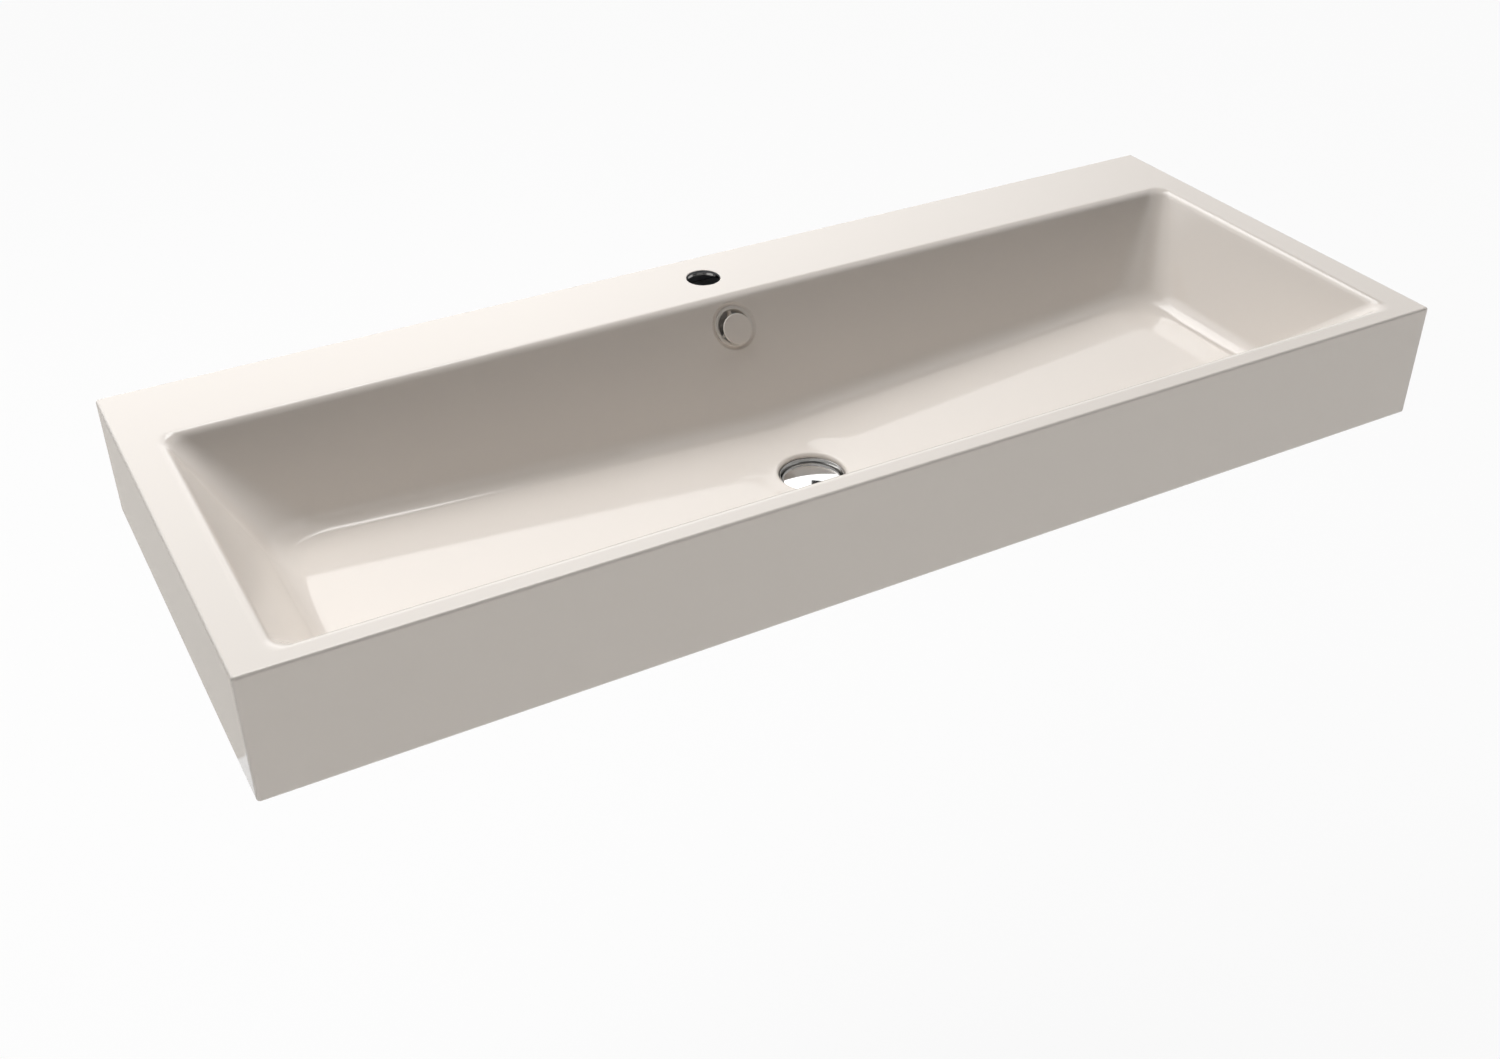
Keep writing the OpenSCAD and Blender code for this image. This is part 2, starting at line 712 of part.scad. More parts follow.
// Lengths and radii of the outer rings: a plain cuff, the ribs and a plain cuff
hose_outer = concat(
    [[0, hose_r], [rib_start, hose_r]],
    [for (i = [0 : rib_count - 1]) each [
        [rib_start + hose_pitch * (i + root_share), hose_root_d / 2],
        [rib_start + hose_pitch * (i + crest_share), hose_r]
    ]],
    [[hose_l, hose_r]]
);

// Closed skin of a tube: out along the outer rings and back along the bore
module tube_skin(outer, inner) {
    n = hose_sides;
    rings = concat(outer, inner);
    m = len(rings);
    polyhedron([for (ring = rings) each ring], [for (j = [0 : m - 1]) for (i = [0 : n - 1])
        let (a = j * n + i, b = j * n + (i + 1) % n)
        let (c = ((j + 1) % m) * n + i, d = ((j + 1) % m) * n + (i + 1) % n)
        each [[a, b, d], [a, d, c]]]);
}

module overflow_hose() {
    bore_steps = ceil(hose_l / hose_d * 2);
    color(black_plastic) tube_skin(
        [for (p = hose_outer) hose_ring(p[0], p[1])],
        [for (i = [bore_steps : -1 : 0]) hose_ring(hose_l * i / bore_steps, hose_bore_d / 2)]
    );
}

// Places children at both hose ends, with +Z along the hose from the socket's mouth
module at_hose_ends() {
    translate([0, elbow_axis_y, elbow_foot_z]) rotate([180, 0, 0]) children();
    translate([0, -waste_y + port_reach, hose_low_z]) rotate([-90, 0, 0]) children();
}

module hose_nuts() {
    color(white_plastic) at_hose_ends() difference() {
        translate([0, 0, hose_seal_l + hose_nut_shoulder - hose_nut_l])
            cylinder(d = hose_nut_d, h = hose_nut_l, $fn = 12);
        translate([0, 0, hose_seal_l + hose_nut_shoulder - hose_nut_l - over])
            cylinder(r = socket_r + fixed_gap, h = hose_nut_l - hose_nut_shoulder + over);
        cylinder(r = hose_r + hose_gap, h = hose_seal_l + hose_nut_shoulder + over);
    }
}

module hose_seals() {
    color(rubber) at_hose_ends() ring(socket_r, hose_r + hose_gap, hose_seal_l);
}

/* Waste */

cup_r = recess_r - cup_gap;
shank_foot_z = cup_floor_z - shank_l;
ledge_z = cup_floor_z - ledge_depth;

module waste_cup() {
    color(chrome) at_waste() rotate_extrude() polygon(concat(
        [[shank_low_bore_d / 2, shank_foot_z], [shank_d / 2, shank_foot_z]],
        [[shank_d / 2, cup_floor_z]],
        arc(cup_r - recess_foot_r, cup_floor_z + recess_foot_r, recess_foot_r, -90, 0),
        arc(cup_r - cup_wall / 2, -cup_drop - cup_wall / 2, cup_wall / 2, 0, 180),
        [[cup_r - cup_wall, cup_floor_z + cup_floor_t], [shank_bore_d / 2, cup_floor_z + cup_floor_t]],
        [[shank_bore_d / 2, ledge_z], [shank_low_bore_d / 2, ledge_z]]
    ));
}

module cup_seal() {
    color(rubber) at_waste() translate([0, 0, recess_foot_z])
        ring(cup_r - recess_foot_r, shank_d / 2 + fixed_gap, flange_seal_t);
}

module body_seal() {
    color(rubber) at_waste() translate([0, 0, recess_foot_z - sheet_t - body_seal_t])
        ring(body_flange_d / 2, shank_d / 2 + fixed_gap, body_seal_t);
}

module slip_washer() {
    color(white_plastic) at_waste() translate([0, 0, body_top_z])
        ring(body_flange_d / 2, shank_d / 2 + fixed_gap, slip_washer_t);
}

module waste_body() {
    color(white_plastic) at_waste() difference() {
        union() {
            translate([0, 0, body_top_z - body_flange_t])
                cylinder(d = body_flange_d, h = body_flange_t);
            translate([0, 0, body_foot_z]) cylinder(d = body_d, h = body_h + body_flange_t / 2);
            translate([0, 0, body_foot_z - tail_l]) cylinder(d = tail_d, h = tail_l + body_floor_t);
            translate([0, 0, port_z]) rotate([-90, 0, 0])
                cylinder(r = socket_r, h = port_reach);
        }
        translate([0, 0, shank_foot_z - fixed_gap])
            cylinder(d = shank_d + fixed_gap * 2, h = body_top_z - shank_foot_z + fixed_gap + over);
        translate([0, 0, body_foot_z + body_floor_t])
            cylinder(d = chamber_d, h = shank_foot_z - body_foot_z - body_floor_t);
        translate([0, 0, body_foot_z - tail_l - over])
            cylinder(d = tail_bore_d, h = tail_l + body_floor_t + over * 2);
        translate([0, 0, port_z]) rotate([-90, 0, 0]) cylinder(d = hose_bore_d, h = port_reach);
        translate([0, port_reach - hose_plug_in, port_z]) rotate([-90, 0, 0])
            cylinder(r = hose_r + hose_gap, h = hose_plug_in + over);
    }
}

/* Click cartridge */

barrel_r = cartridge_bore_d / 2 + cartridge_wall;
barrel_top_z = ledge_z + barrel_rise;
barrel_foot_z = ledge_z - cartridge_depth;
spring_foot_z = barrel_foot_z + cartridge_floor_t;
ring_r = shank_bore_d / 2 - fixed_gap;
cap_seat_z = barrel_top_z - cartridge_cap_t;
piston_top_z = cap_seat_z - plug_travel - running_gap;
piston_foot_z = piston_top_z - piston_h;

module click_cartridge() {
    color(black_plastic) at_waste() difference() {
        union() {
            translate([0, 0, barrel_foot_z]) cylinder(r = barrel_r, h = cartridge_depth + barrel_rise);
            translate([0, 0, ledge_z]) ring(ring_r, ring_r - cartridge_ring_w, cartridge_ring_h);
            for (i = [0 : cartridge_spokes - 1]) rotate([0, 0, 360 * (i + 1 / 2) / cartridge_spokes])
                translate([0, -cartridge_spoke_w / 2, ledge_z])
                    cube([ring_r - cartridge_ring_w / 2, cartridge_spoke_w, cartridge_ring_h]);
        }
        translate([0, 0, spring_foot_z])
            cylinder(d = cartridge_bore_d, h = cartridge_depth + barrel_rise);
    }
}

module cartridge_cap() {
    color(black_plastic) at_waste() translate([0, 0, cap_seat_z])
        ring(cartridge_bore_d / 2 - fixed_gap, stem_d / 2 + running_gap, cartridge_cap_t);
}

// Helix whose first and last half turns lie flat
spring_r = cartridge_bore_d / 2 - fixed_gap * 2 - spring_wire_d / 2;
spring_h = piston_foot_z - spring_foot_z - spring_wire_d - fixed_gap * 2;
spring_turn_steps = 8;
spring_sides = 6;
spring_steps = spring_turns * spring_turn_steps;

// Share of the spring's height that is climbed after a share of its turns
function climb_share(share) =
    let (flat_share = 1 / 2 / spring_turns)
    min(1, max(0, (share - flat_share) / (1 - flat_share * 2)));

function spring_ring(step) =
    let (a = 360 * step / spring_turn_steps)
    let (z = spring_foot_z + fixed_gap + spring_wire_d / 2 + spring_h * climb_share(step / spring_steps))
    [for (i = [0 : spring_sides - 1])
        let (b = 360 * i / spring_sides)
        let (r = spring_r + spring_wire_d / 2 * cos(b))
        [r * cos(a), r * sin(a), z + spring_wire_d / 2 * sin(b)]];

module click_spring() {
    color(chrome) at_waste() ring_skin(
        [for (i = [0 : spring_steps]) spring_ring(i)],
        [spring_r, 0, spring_foot_z + fixed_gap + spring_wire_d / 2],
        [spring_r * cos(360 * spring_turns), spring_r * sin(360 * spring_turns),
            spring_foot_z + fixed_gap + spring_wire_d / 2 + spring_h]
    );
}

/* Plug */

seat_z = cup_floor_z + cup_floor_t;
plug_edge_z = seat_z + plug_edge_gap;
plug_crown_z = plug_edge_z + plug_h;
plug_shoulder_z = plug_crown_z - crown_h;
plug_seal_z = seat_z + seat_gap;
plug_disc_z = plug_seal_z + plug_seal_t;
crown_flat_r = plug_d / 2 - shoulder_r;
// Radius of the ball that the crown is cut from
crown_ball_r = (crown_flat_r * crown_flat_r + crown_h * crown_h) / (2 * crown_h);
crown_half_angle = asin(crown_flat_r / crown_ball_r);

module plug_stem() {
    color(chrome) at_waste() {
        translate([0, 0, piston_foot_z])
            cylinder(d = stem_d, h = plug_disc_z - neck_l / 2 - piston_foot_z);
        translate([0, 0, piston_foot_z])
            cylinder(r = cartridge_bore_d / 2 - running_gap, h = piston_h);
    }
}

module plug_disc() {
    color(white_plastic) at_waste() difference() {
        union() {
            translate([0, 0, plug_disc_z]) cylinder(d = plug_disc_d, h = plug_disc_t);
            translate([0, 0, plug_disc_z - neck_l]) cylinder(d = neck_d, h = neck_l + plug_disc_t);
        }
        translate([0, 0, plug_disc_z - neck_l - over])
            cylinder(d = stem_d + fixed_gap * 2, h = neck_l / 2 + over);
    }
}

module plug_seal() {
    color(rubber) at_waste() translate([0, 0, plug_seal_z])
        ring(plug_seal_d / 2, plug_seal_bore_d / 2, plug_seal_t);
}

module plug_cap() {
    color(chrome) at_waste() rotate_extrude() polygon(concat(
        [[plug_d / 2 - plug_wall, plug_edge_z], [plug_d / 2, plug_edge_z]],
        arc(crown_flat_r, plug_shoulder_z - shoulder_r, shoulder_r, 0, 90 - crown_half_angle),
        [for (i = [0 : corner_steps])
            let (a = crown_half_angle * (1 - i / corner_steps))
            [crown_ball_r * sin(a), plug_crown_z - crown_ball_r * (1 - cos(a))]],
        [[0, plug_disc_z + plug_disc_t], [plug_d / 2 - plug_wall, plug_disc_z + plug_disc_t]]
    ));
}

basin();
rear_rail();
tap_plate();
wall_sleeves();
damping_pads();
overflow_cap();
overflow_insert();
overflow_screw();
overflow_gasket();
overflow_elbow();
overflow_hose();
hose_nuts();
hose_seals();
waste_cup();
cup_seal();
body_seal();
slip_washer();
waste_body();
click_cartridge();
cartridge_cap();
click_spring();
plug_stem();
plug_disc();
plug_seal();
plug_cap();
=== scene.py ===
# Wall-hung enamelled steel washbasin: looks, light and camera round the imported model.
import math
from types import SimpleNamespace

import bpy
import numpy as np
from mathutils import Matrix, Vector


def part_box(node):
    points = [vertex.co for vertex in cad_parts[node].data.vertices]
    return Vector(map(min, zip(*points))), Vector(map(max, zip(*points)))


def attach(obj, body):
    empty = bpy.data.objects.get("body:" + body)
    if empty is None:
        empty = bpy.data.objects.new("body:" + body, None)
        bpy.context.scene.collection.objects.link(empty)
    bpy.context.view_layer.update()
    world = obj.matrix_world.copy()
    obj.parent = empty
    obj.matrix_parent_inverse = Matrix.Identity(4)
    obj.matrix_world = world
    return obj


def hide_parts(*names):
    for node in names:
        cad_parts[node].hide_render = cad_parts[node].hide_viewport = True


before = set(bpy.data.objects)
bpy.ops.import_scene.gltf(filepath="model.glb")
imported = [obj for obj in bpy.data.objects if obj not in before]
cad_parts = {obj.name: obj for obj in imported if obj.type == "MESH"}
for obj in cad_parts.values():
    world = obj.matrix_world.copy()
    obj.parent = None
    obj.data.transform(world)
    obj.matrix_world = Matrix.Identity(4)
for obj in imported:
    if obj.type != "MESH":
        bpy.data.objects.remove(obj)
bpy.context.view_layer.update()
print("loaded the packed washbasin")

basinBody, plugBody = "basin_set", "plug"
mm = 0.001
hair, fine, small, soft = 0.2 * mm, 0.3 * mm, 0.4 * mm, 0.5 * mm  # widths of small bevels and guard steps
play = 0.15 * mm  # between pieces that fit into each other


# A piece's dictionary, read by its names
def values(shape):
    return SimpleNamespace(**shape)


# Meshes from arrays

# Mesh from arrays of points, quads and triangles, whose faces point outwards
def meshFromArrays(name, points, quads, material, smooth=True, tris=()):
    mesh = bpy.data.meshes.new(name)
    quads = np.asarray(quads, dtype=np.int32).reshape(-1, 4)
    tris = np.asarray(tris, dtype=np.int32).reshape(-1, 3)
    mesh.vertices.add(len(points))
    mesh.vertices.foreach_set("co", np.asarray(points, dtype=np.float32).ravel())
    corners = np.concatenate([quads.ravel(), tris.ravel()])
    starts = np.concatenate([np.arange(len(quads)) * 4, quads.size + np.arange(len(tris)) * 3])
    mesh.loops.add(len(corners))
    mesh.loops.foreach_set("vertex_index", corners)
    mesh.polygons.add(len(starts))
    mesh.polygons.foreach_set("loop_start", starts.astype(np.int32))
    mesh.polygons.foreach_set("use_smooth", np.full(len(starts), smooth))
    mesh.update(calc_edges=True)
    mesh.validate()
    piece = bpy.data.objects.new(name, mesh)
    bpy.context.collection.objects.link(piece)
    piece.data.materials.append(material)
    return piece


# Quads between neighbours of a grid of vertex numbers
def gridQuads(grid):
    return np.stack([grid[:-1, :-1], grid[:-1, 1:], grid[1:, 1:], grid[1:, :-1]], axis=-1).reshape(-1, 4)


# Grid of vertex numbers that closes on itself across its columns, and across its rows where asked
def closedGrid(rows, columns, closeRows=False):
    grid = np.arange(rows * columns).reshape(rows, columns)
    grid = np.concatenate([grid, grid[:, :1]], axis=1)
    return np.concatenate([grid, grid[:1]], axis=0) if closeRows else grid


# Arc of n points round (cx, cy) from angle a0 to a1, in degrees
def arc(cx, cy, r, a0, a1, n=8):
    a = np.radians(np.linspace(a0, a1, n))
    return np.stack([cx + r * np.cos(a), cy + r * np.sin(a)], axis=1)


# Angles brought between minus and plus half a turn
def wrapped(angle):
    return (angle + np.pi) % (2 * np.pi) - np.pi


# Rows of a turn about X by an angle in degrees, for points @ rows
def tiltRows(degrees):
    t = math.radians(degrees)
    return np.array([[1, 0, 0], [0, math.cos(t), math.sin(t)], [0, -math.sin(t), math.cos(t)]])


thinSteps, usualSteps, wideSteps, flutedSteps = 64, 96, 128, 192  # points round a turned piece


# Outline of radius and height turned round +Z, then tilted about X and moved: each point of the outline
# becomes a ring, and an end on the axis becomes one point. The outline runs up on the outside.
def turned(outline, origin, tilt=0.0, wave=None, steps=usualSteps):
    outline = np.concatenate([np.atleast_2d(p) for p in outline])
    poles = outline[[0, -1], 0] < 1e-7
    ends = outline[[0, -1]][poles]
    outline = outline[1 if poles[0] else 0:len(outline) - (1 if poles[1] else 0)]
    a = np.linspace(0, 2 * np.pi, steps, endpoint=False)
    r = np.repeat(outline[:, :1], steps, axis=1)
    z = np.repeat(outline[:, 1:2], steps, axis=1)
    if wave is not None:
        r = r + wave(a[None, :], z, r)
    rings = np.stack([r * np.cos(a), r * np.sin(a), z], axis=-1).reshape(-1, 3)
    tips = np.column_stack([ends[:, 0] * 0, ends[:, 0] * 0, ends[:, 1]])
    points = np.concatenate([rings, tips]) @ tiltRows(tilt) + np.asarray(origin, dtype=float)
    grid = closedGrid(len(outline), steps, closeRows=not poles.any())
    tris, pole = [np.zeros((0, 3), dtype=int)], len(outline) * steps
    if poles[0]:
        tris.append(np.stack([grid[0, :-1], np.full(steps, pole), grid[0, 1:]], axis=1))
        pole += 1
    if poles[1]:
        tris.append(np.stack([grid[-1, 1:], np.full(steps, pole), grid[-1, :-1]], axis=1))
    return points, gridQuads(grid), np.concatenate(tris)


# Shader nodes

# Socket in use under a name, or at a number: a mix node keeps spare ones under the same name
def socketOf(sockets, key):
    if isinstance(key, int):
        return sockets[key]
    return next(socket for socket in sockets if socket.enabled and socket.name == key)


# New node of a tree, with its settings and the values of its inputs
def addNode(tree, kind, inputs=None, **settings):
    node = tree.nodes.new("ShaderNode" + kind)
    for key, value in settings.items():
        setattr(node, key, value)
    for key, value in (inputs or {}).items():
        socketOf(node.inputs, key).default_value = value
    return node


# Links of a tree, each given as a node, its output, the next node and its input
def connect(tree, *links):
    for source, output, target, entry in links:
        tree.links.new(socketOf(source.outputs, output), socketOf(target.inputs, entry))


# New material and its node tree
def newMaterial(name):
    material = bpy.data.materials.new(name)
    material.use_nodes = True
    return material, material.node_tree


# Node groups for effects that several materials share: an input without a value is a vector
def newGroup(name, inputs, outputs):
    group = bpy.data.node_groups.new(name, "ShaderNodeTree")
    for label, value in inputs.items():
        kind = "Vector" if value is None else "Float" if isinstance(value, float) else "Color"
        socket = group.interface.new_socket(label, in_out="INPUT", socket_type="NodeSocket" + kind)
        if value is not None:
            socket.default_value = value
    for label, kind in outputs.items():
        group.interface.new_socket(label, in_out="OUTPUT", socket_type="NodeSocket" + kind)
    return group, group.nodes.new("NodeGroupInput"), group.nodes.new("NodeGroupOutput")


# Colour that drifts between two tones, and a roughness that drifts between two values
def makeToneGroup():
    group, given, result = newGroup("softTone", {
        "Vector": None, "Scale": 6.0, "Tone A": (0.8, 0.8, 0.8, 1), "Tone B": (0.7, 0.7, 0.7, 1),
        "Rough Low": 0.1, "Rough High": 0.2,
    }, {"Color": "Color", "Roughness": "Float"})
    noise = addNode(group, "TexNoise", {"Detail": 4.0})
    mix = addNode(group, "Mix", data_type="RGBA")
    spread = addNode(group, "MapRange", {"From Min": 0.3, "From Max": 0.7})
    connect(group, (given, "Vector", noise, "Vector"), (given, "Scale", noise, "Scale"),
            (noise, "Fac", mix, "Factor"), (given, "Tone A", mix, "A"), (given, "Tone B", mix, "B"),
            (noise, "Fac", spread, "Value"), (given, "Rough Low", spread, "To Min"),
            (given, "Rough High", spread, "To Max"),
            (mix, "Result", result, "Color"), (spread, "Result", result, "Roughness"))
    return group


# Height of a fine grain, from two sizes of noise
def makeGrainGroup():
    group, given, result = newGroup("fineGrain", {"Vector": None, "Scale": 300.0, "Coarse": 0.5},
                                    {"Height": "Float"})
    near, far = addNode(group, "TexNoise", {"Detail": 3.0}), addNode(group, "TexNoise", {"Detail": 1.0})
    shrink = addNode(group, "Math", {1: 0.2}, operation="MULTIPLY")
    mix = addNode(group, "Mix")
    connect(group, (given, "Scale", near, "Scale"), (given, "Scale", shrink, 0), (shrink, 0, far, "Scale"),
            (given, "Vector", near, "Vector"), (given, "Vector", far, "Vector"),
            (given, "Coarse", mix, "Factor"), (near, "Fac", mix, "A"), (far, "Fac", mix, "B"),
            (mix, "Result", result, "Height"))
    return group


softTone = makeToneGroup()
fineGrain = makeGrainGroup()


# Group node that drifts between a look's two tones and its two roughness values
def addTone(tree, where, look):
    (toneA, toneB), (smooth, rough) = look["tones"], look["rough"]
    tone = addNode(tree, "Group", node_tree=softTone, inputs={
        "Scale": look["toneScale"], "Tone A": (*toneA, 1), "Tone B": (*toneB, 1),
        "Rough Low": smooth, "Rough High": rough})
    connect(tree, (where, "Object", tone, "Vector"))
    return tone


# Material with drifting tone and roughness and a fine grain, from one dictionary of values
def finish(name, look):
    material, tree = newMaterial(name)
    shader = tree.nodes["Principled BSDF"]
    where = addNode(tree, "TexCoord")
    tone = addTone(tree, where, look)
    scale, strength, depth = look["grain"]
    grain = addNode(tree, "Group", node_tree=fineGrain,
                    inputs={"Scale": scale, "Coarse": look.get("grainCoarse", 0.5)})
    bump = addNode(tree, "Bump", {"Strength": strength, "Distance": depth})
    connect(tree, (tone, "Color", shader, "Base Color"), (tone, "Roughness", shader, "Roughness"),
            (where, "Object", grain, "Vector"), (grain, "Height", bump, "Height"),
            (bump, "Normal", shader, "Normal"))
    shader.inputs["Metallic"].default_value = look.get("metallic", 0.0)
    shader.inputs["IOR"].default_value = look.get("ior", 1.5)
    return material, shader, tone, where


enamelLook = {
    "tones": ((0.868, 0.806, 0.742), (0.856, 0.790, 0.727)), "toneScale": 3.0, "rough": (0.055, 0.075),
    "grain": (160.0, 0.06, 0.0002), "grainCoarse": 0.8, "ior": 1.52,
}
# Dark ground coat of the hidden side; the same tone also paints shade on the wall of the tap hole
groundCoatAndShadeLook = {
    "tones": ((0.150, 0.155, 0.165), (0.220, 0.225, 0.235)), "toneScale": 420.0, "rough": (0.35, 0.5),
}


# Top coat where the mask attribute is 0, and where it is 1 the darker ground-coat tone: real ground coat on
# the hidden side, painted shade on the wall of the tap hole
def makeEnamel():
    material, shader, tone, where = finish("enamel", enamelLook)
    tree = material.node_tree
    mask = addNode(tree, "Attribute", attribute_name="groundCoatAndHoleShade")
    groundCoatAndShadeTone = addTone(tree, where, groundCoatAndShadeLook)
    for output, target, kind in (("Color", "Base Color", "RGBA"), ("Roughness", "Roughness", "FLOAT")):
        mix = addNode(tree, "Mix", data_type=kind)
        connect(tree, (mask, "Fac", mix, "Factor"), (tone, output, mix, "A"), (groundCoatAndShadeTone, output, mix, "B"),
                (mix, "Result", shader, target))
    return material


# Two tones, the scale of their drift, the roughness, and the grain's scale, strength and depth in metres
looks = {
    "chrome": {"tones": ((0.86, 0.86, 0.86), (0.81, 0.81, 0.81)), "toneScale": 20.0, "rough": (0.035, 0.06),
               "grain": (900.0, 0.02, 0.00005), "metallic": 1.0},
    # Dark steel tone: the waste cup is chrome, and this darker tone paints the dark reflection on its wall in
    # the recess; the tap plate shares it
    "steelPaintedDarkReflection": {"tones": ((0.36, 0.35, 0.34), (0.30, 0.295, 0.285)), "toneScale": 20.0,
                     "rough": (0.10, 0.16), "grain": (900.0, 0.03, 0.00005), "metallic": 1.0},
    "springSteel": {"tones": ((0.62, 0.62, 0.62), (0.50, 0.50, 0.51)), "toneScale": 80.0,
                    "rough": (0.2, 0.35), "grain": (1200.0, 0.1, 0.0001), "metallic": 1.0},
    "zincPlate": {"tones": ((0.66, 0.69, 0.70), (0.56, 0.57, 0.55)), "toneScale": 18.0, "rough": (0.28, 0.48),
                  "grain": (420.0, 0.12, 0.0002), "metallic": 1.0},
    "rubber": {"tones": ((0.030, 0.030, 0.030), (0.052, 0.050, 0.048)), "toneScale": 60.0,
               "rough": (0.6, 0.8), "grain": (900.0, 0.25, 0.0002)},
    "bitumen": {"tones": ((0.035, 0.033, 0.030), (0.075, 0.070, 0.064)), "toneScale": 40.0,
                "rough": (0.65, 0.9), "grain": (350.0, 0.5, 0.0006)},
    "nylon": {"tones": ((0.76, 0.75, 0.70), (0.70, 0.69, 0.63)), "toneScale": 50.0, "rough": (0.4, 0.55),
              "grain": (700.0, 0.15, 0.0001)},
    "whitePlastic": {"tones": ((0.80, 0.80, 0.79), (0.74, 0.74, 0.73)), "toneScale": 25.0,
                     "rough": (0.3, 0.42), "grain": (600.0, 0.12, 0.0001)},
    "insertPlastic": {"tones": ((0.80, 0.755, 0.70), (0.76, 0.715, 0.66)), "toneScale": 25.0,
                      "rough": (0.22, 0.34), "grain": (600.0, 0.1, 0.0001)},
    "blackPlastic": {"tones": ((0.022, 0.022, 0.024), (0.036, 0.036, 0.038)), "toneScale": 40.0,
                     "rough": (0.35, 0.5), "grain": (800.0, 0.2, 0.0001)},
}
finishes = {"enamel": makeEnamel()}
finishes.update({name: finish(name, look)[0] for name, look in looks.items()})

# Nodes that take each finish, and every material slot of those nodes set to its finish
finishNodes = {
    "enamel": ["basin", "overflow_cap"], "zincPlate": ["rear_rail"], "springSteel": ["click_spring"],
    # The waste cup's dark steel tone is a painted dark reflection in the recess
    "steelPaintedDarkReflection": ["tap_plate", "waste_cup"], "chrome": ["overflow_screw", "plug_stem", "plug_cap"],
    "nylon": ["wall_sleeves"], "bitumen": ["damping_pads"], "insertPlastic": ["overflow_insert"],
    "rubber": ["overflow_gasket", "hose_seals", "cup_seal", "body_seal", "plug_seal"],
    "whitePlastic": ["overflow_elbow", "hose_nuts", "slip_washer", "waste_body", "plug_disc"],
    "blackPlastic": ["overflow_hose", "click_cartridge", "cartridge_cap"],
}
finishOf = {node: name for name, nodes in finishNodes.items() for node in nodes}
for node, name in finishOf.items():
    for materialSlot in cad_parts[node].material_slots:
        materialSlot.material = finishes[name]
print("mixed the finishes")


# Piece from arrays in the place of a CAD node, with the node's finish and a name made from the node's
def addPiece(node, points, quads, tris=(), rideOn=basinBody, name=None):
    first, *others = node.split("_")
    name = name or first + "".join(word.capitalize() for word in others)
    piece = meshFromArrays(name, points, quads, finishes[finishOf[node]], tris=tris)
    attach(piece, rideOn)
    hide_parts(node)
    return piece


# Basin

boxLow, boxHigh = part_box("basin")
basinShape = {
    "width": boxHigh.x - boxLow.x, "depth": boxHigh.y - boxLow.y, "rim": boxHigh.z, "apron": 120 * mm,
    "sheet": 3 * mm, "returnWidth": 14 * mm, "outerCorner": 3.5 * mm, "innerCorner": 2 * mm, "edge": 2.5 * mm,
    "ledge": 96.5 * mm, "sideRim": 36.5 * mm, "frontRim": 22.5 * mm, "bowlDepth": 113 * mm,
    "lean": 33.0, "tilt": 2.35, "valleySoft": 5 * mm,
    "rimTurn": 12 * mm, "floorTurn": 28 * mm, "mouthCorner": 17 * mm, "floorCorner": 54 * mm,
    "wasteY": -270 * mm, "wasteHole": 23 * mm, "recess": 32.5 * mm, "recessDepth": 18 * mm,
    "lip": 3.5 * mm, "recessFoot": 2 * mm, "flatRound": 66 * mm,
    "cupLip": 2 * mm, "cupFoot": 2.5 * mm, "cupGuard": 3 * mm,  # turns of the recess on its hidden side
    "tapY": -47.5 * mm, "tapHole": 17.5 * mm, "tapReach": 27 * mm, "holeLip": 1 * mm,
    "overflowDrop": 26 * mm, "overflowHole": 18 * mm, "dish": 25 * mm, "dishDepth": 1.5 * mm,
    "dishReach": 31 * mm, "dishSlope": 0.55, "dishBack": 1.2 * mm,
    "fixingX": 450 * mm, "fixingHole": 8.15 * mm, "fixingReach": 12 * mm,
    "groundEdge": 0.6 * mm,  # depth in the tap hole below which its wall takes the dark ground-coat tone as painted shade
}
basin = values(basinShape)
wasteAxis = (0.0, basin.wasteY, basin.rim - basin.bowlDepth)
overflowAxis = (0.0, -basin.ledge - basin.overflowDrop * math.tan(math.radians(basin.lean)),
                basin.rim - basin.overflowDrop)

# Counts of rows and columns. A flat stretch has its count, a guard share close to each end and a power.
grids = {
    "corner": 18, "back": 104, "front": 84, "side": 32, "pull": 0.55, "rim": 9, "floor": 12, "approach": 4,
    "wall": (12, 0.012, 0.988), "flat": (12, 0.008, 0.99), "loft": (22, 0.008, 0.992, 0.8), "twist": 0.6,
    "holeGuard": 0.015,
}


# Shares of a flat stretch, ends left out, whose guards keep the shading of its neighbours off it
def guarded(count, first, last, power=1.0):
    return np.concatenate([[first], np.linspace(0, 1, count)[1:-1] ** power, [last]])


# Places of points along a side: closer together towards the middle
def crowded(count):
    t, pull = np.linspace(-1, 1, count + 2)[1:-1], grids["pull"]
    return np.sign(t) * (np.abs(t) * (1 - pull) + np.abs(t) ** 3 * pull)


# Columns round the basin from the middle of the right side: where a column stands along its side
# (cx, cy) and which way its corner radius points (ux, uy)
def makeColumns():
    side = np.linspace(-1, 1, grids["side"] + 2)[1:-1]
    back, front = -crowded(grids["back"]), crowded(grids["front"])
    corners = []
    for start, cx, cy in ((0, 1, 1), (90, -1, 1), (180, -1, -1), (270, 1, -1)):
        a = np.radians(np.linspace(start, start + 90, grids["corner"] + 1))
        corners.append(np.column_stack(np.broadcast_arrays(cx, cy, np.cos(a), np.sin(a))))
    sides = [(back, 1, 0, 1), (-1, -side, -1, 0), (front, -1, 0, -1), (1, side, 1, 0)]
    back, left, front, right = (np.column_stack(np.broadcast_arrays(*parts)) for parts in sides)
    half = len(side) // 2
    return np.concatenate([right[half:], corners[0], back, corners[1], left, corners[2], front, corners[3],
                           right[:half]])


columns = makeColumns()
columnCount = len(columns)


# Rounded rectangle of half sizes a and b and corner radius r, one point for each column
def roundRect(midY, a, b, r):
    cx, cy, ux, uy = columns.T
    return np.stack([cx * (a - r) + ux * r, midY + cy * (b - r) + uy * r], axis=1)


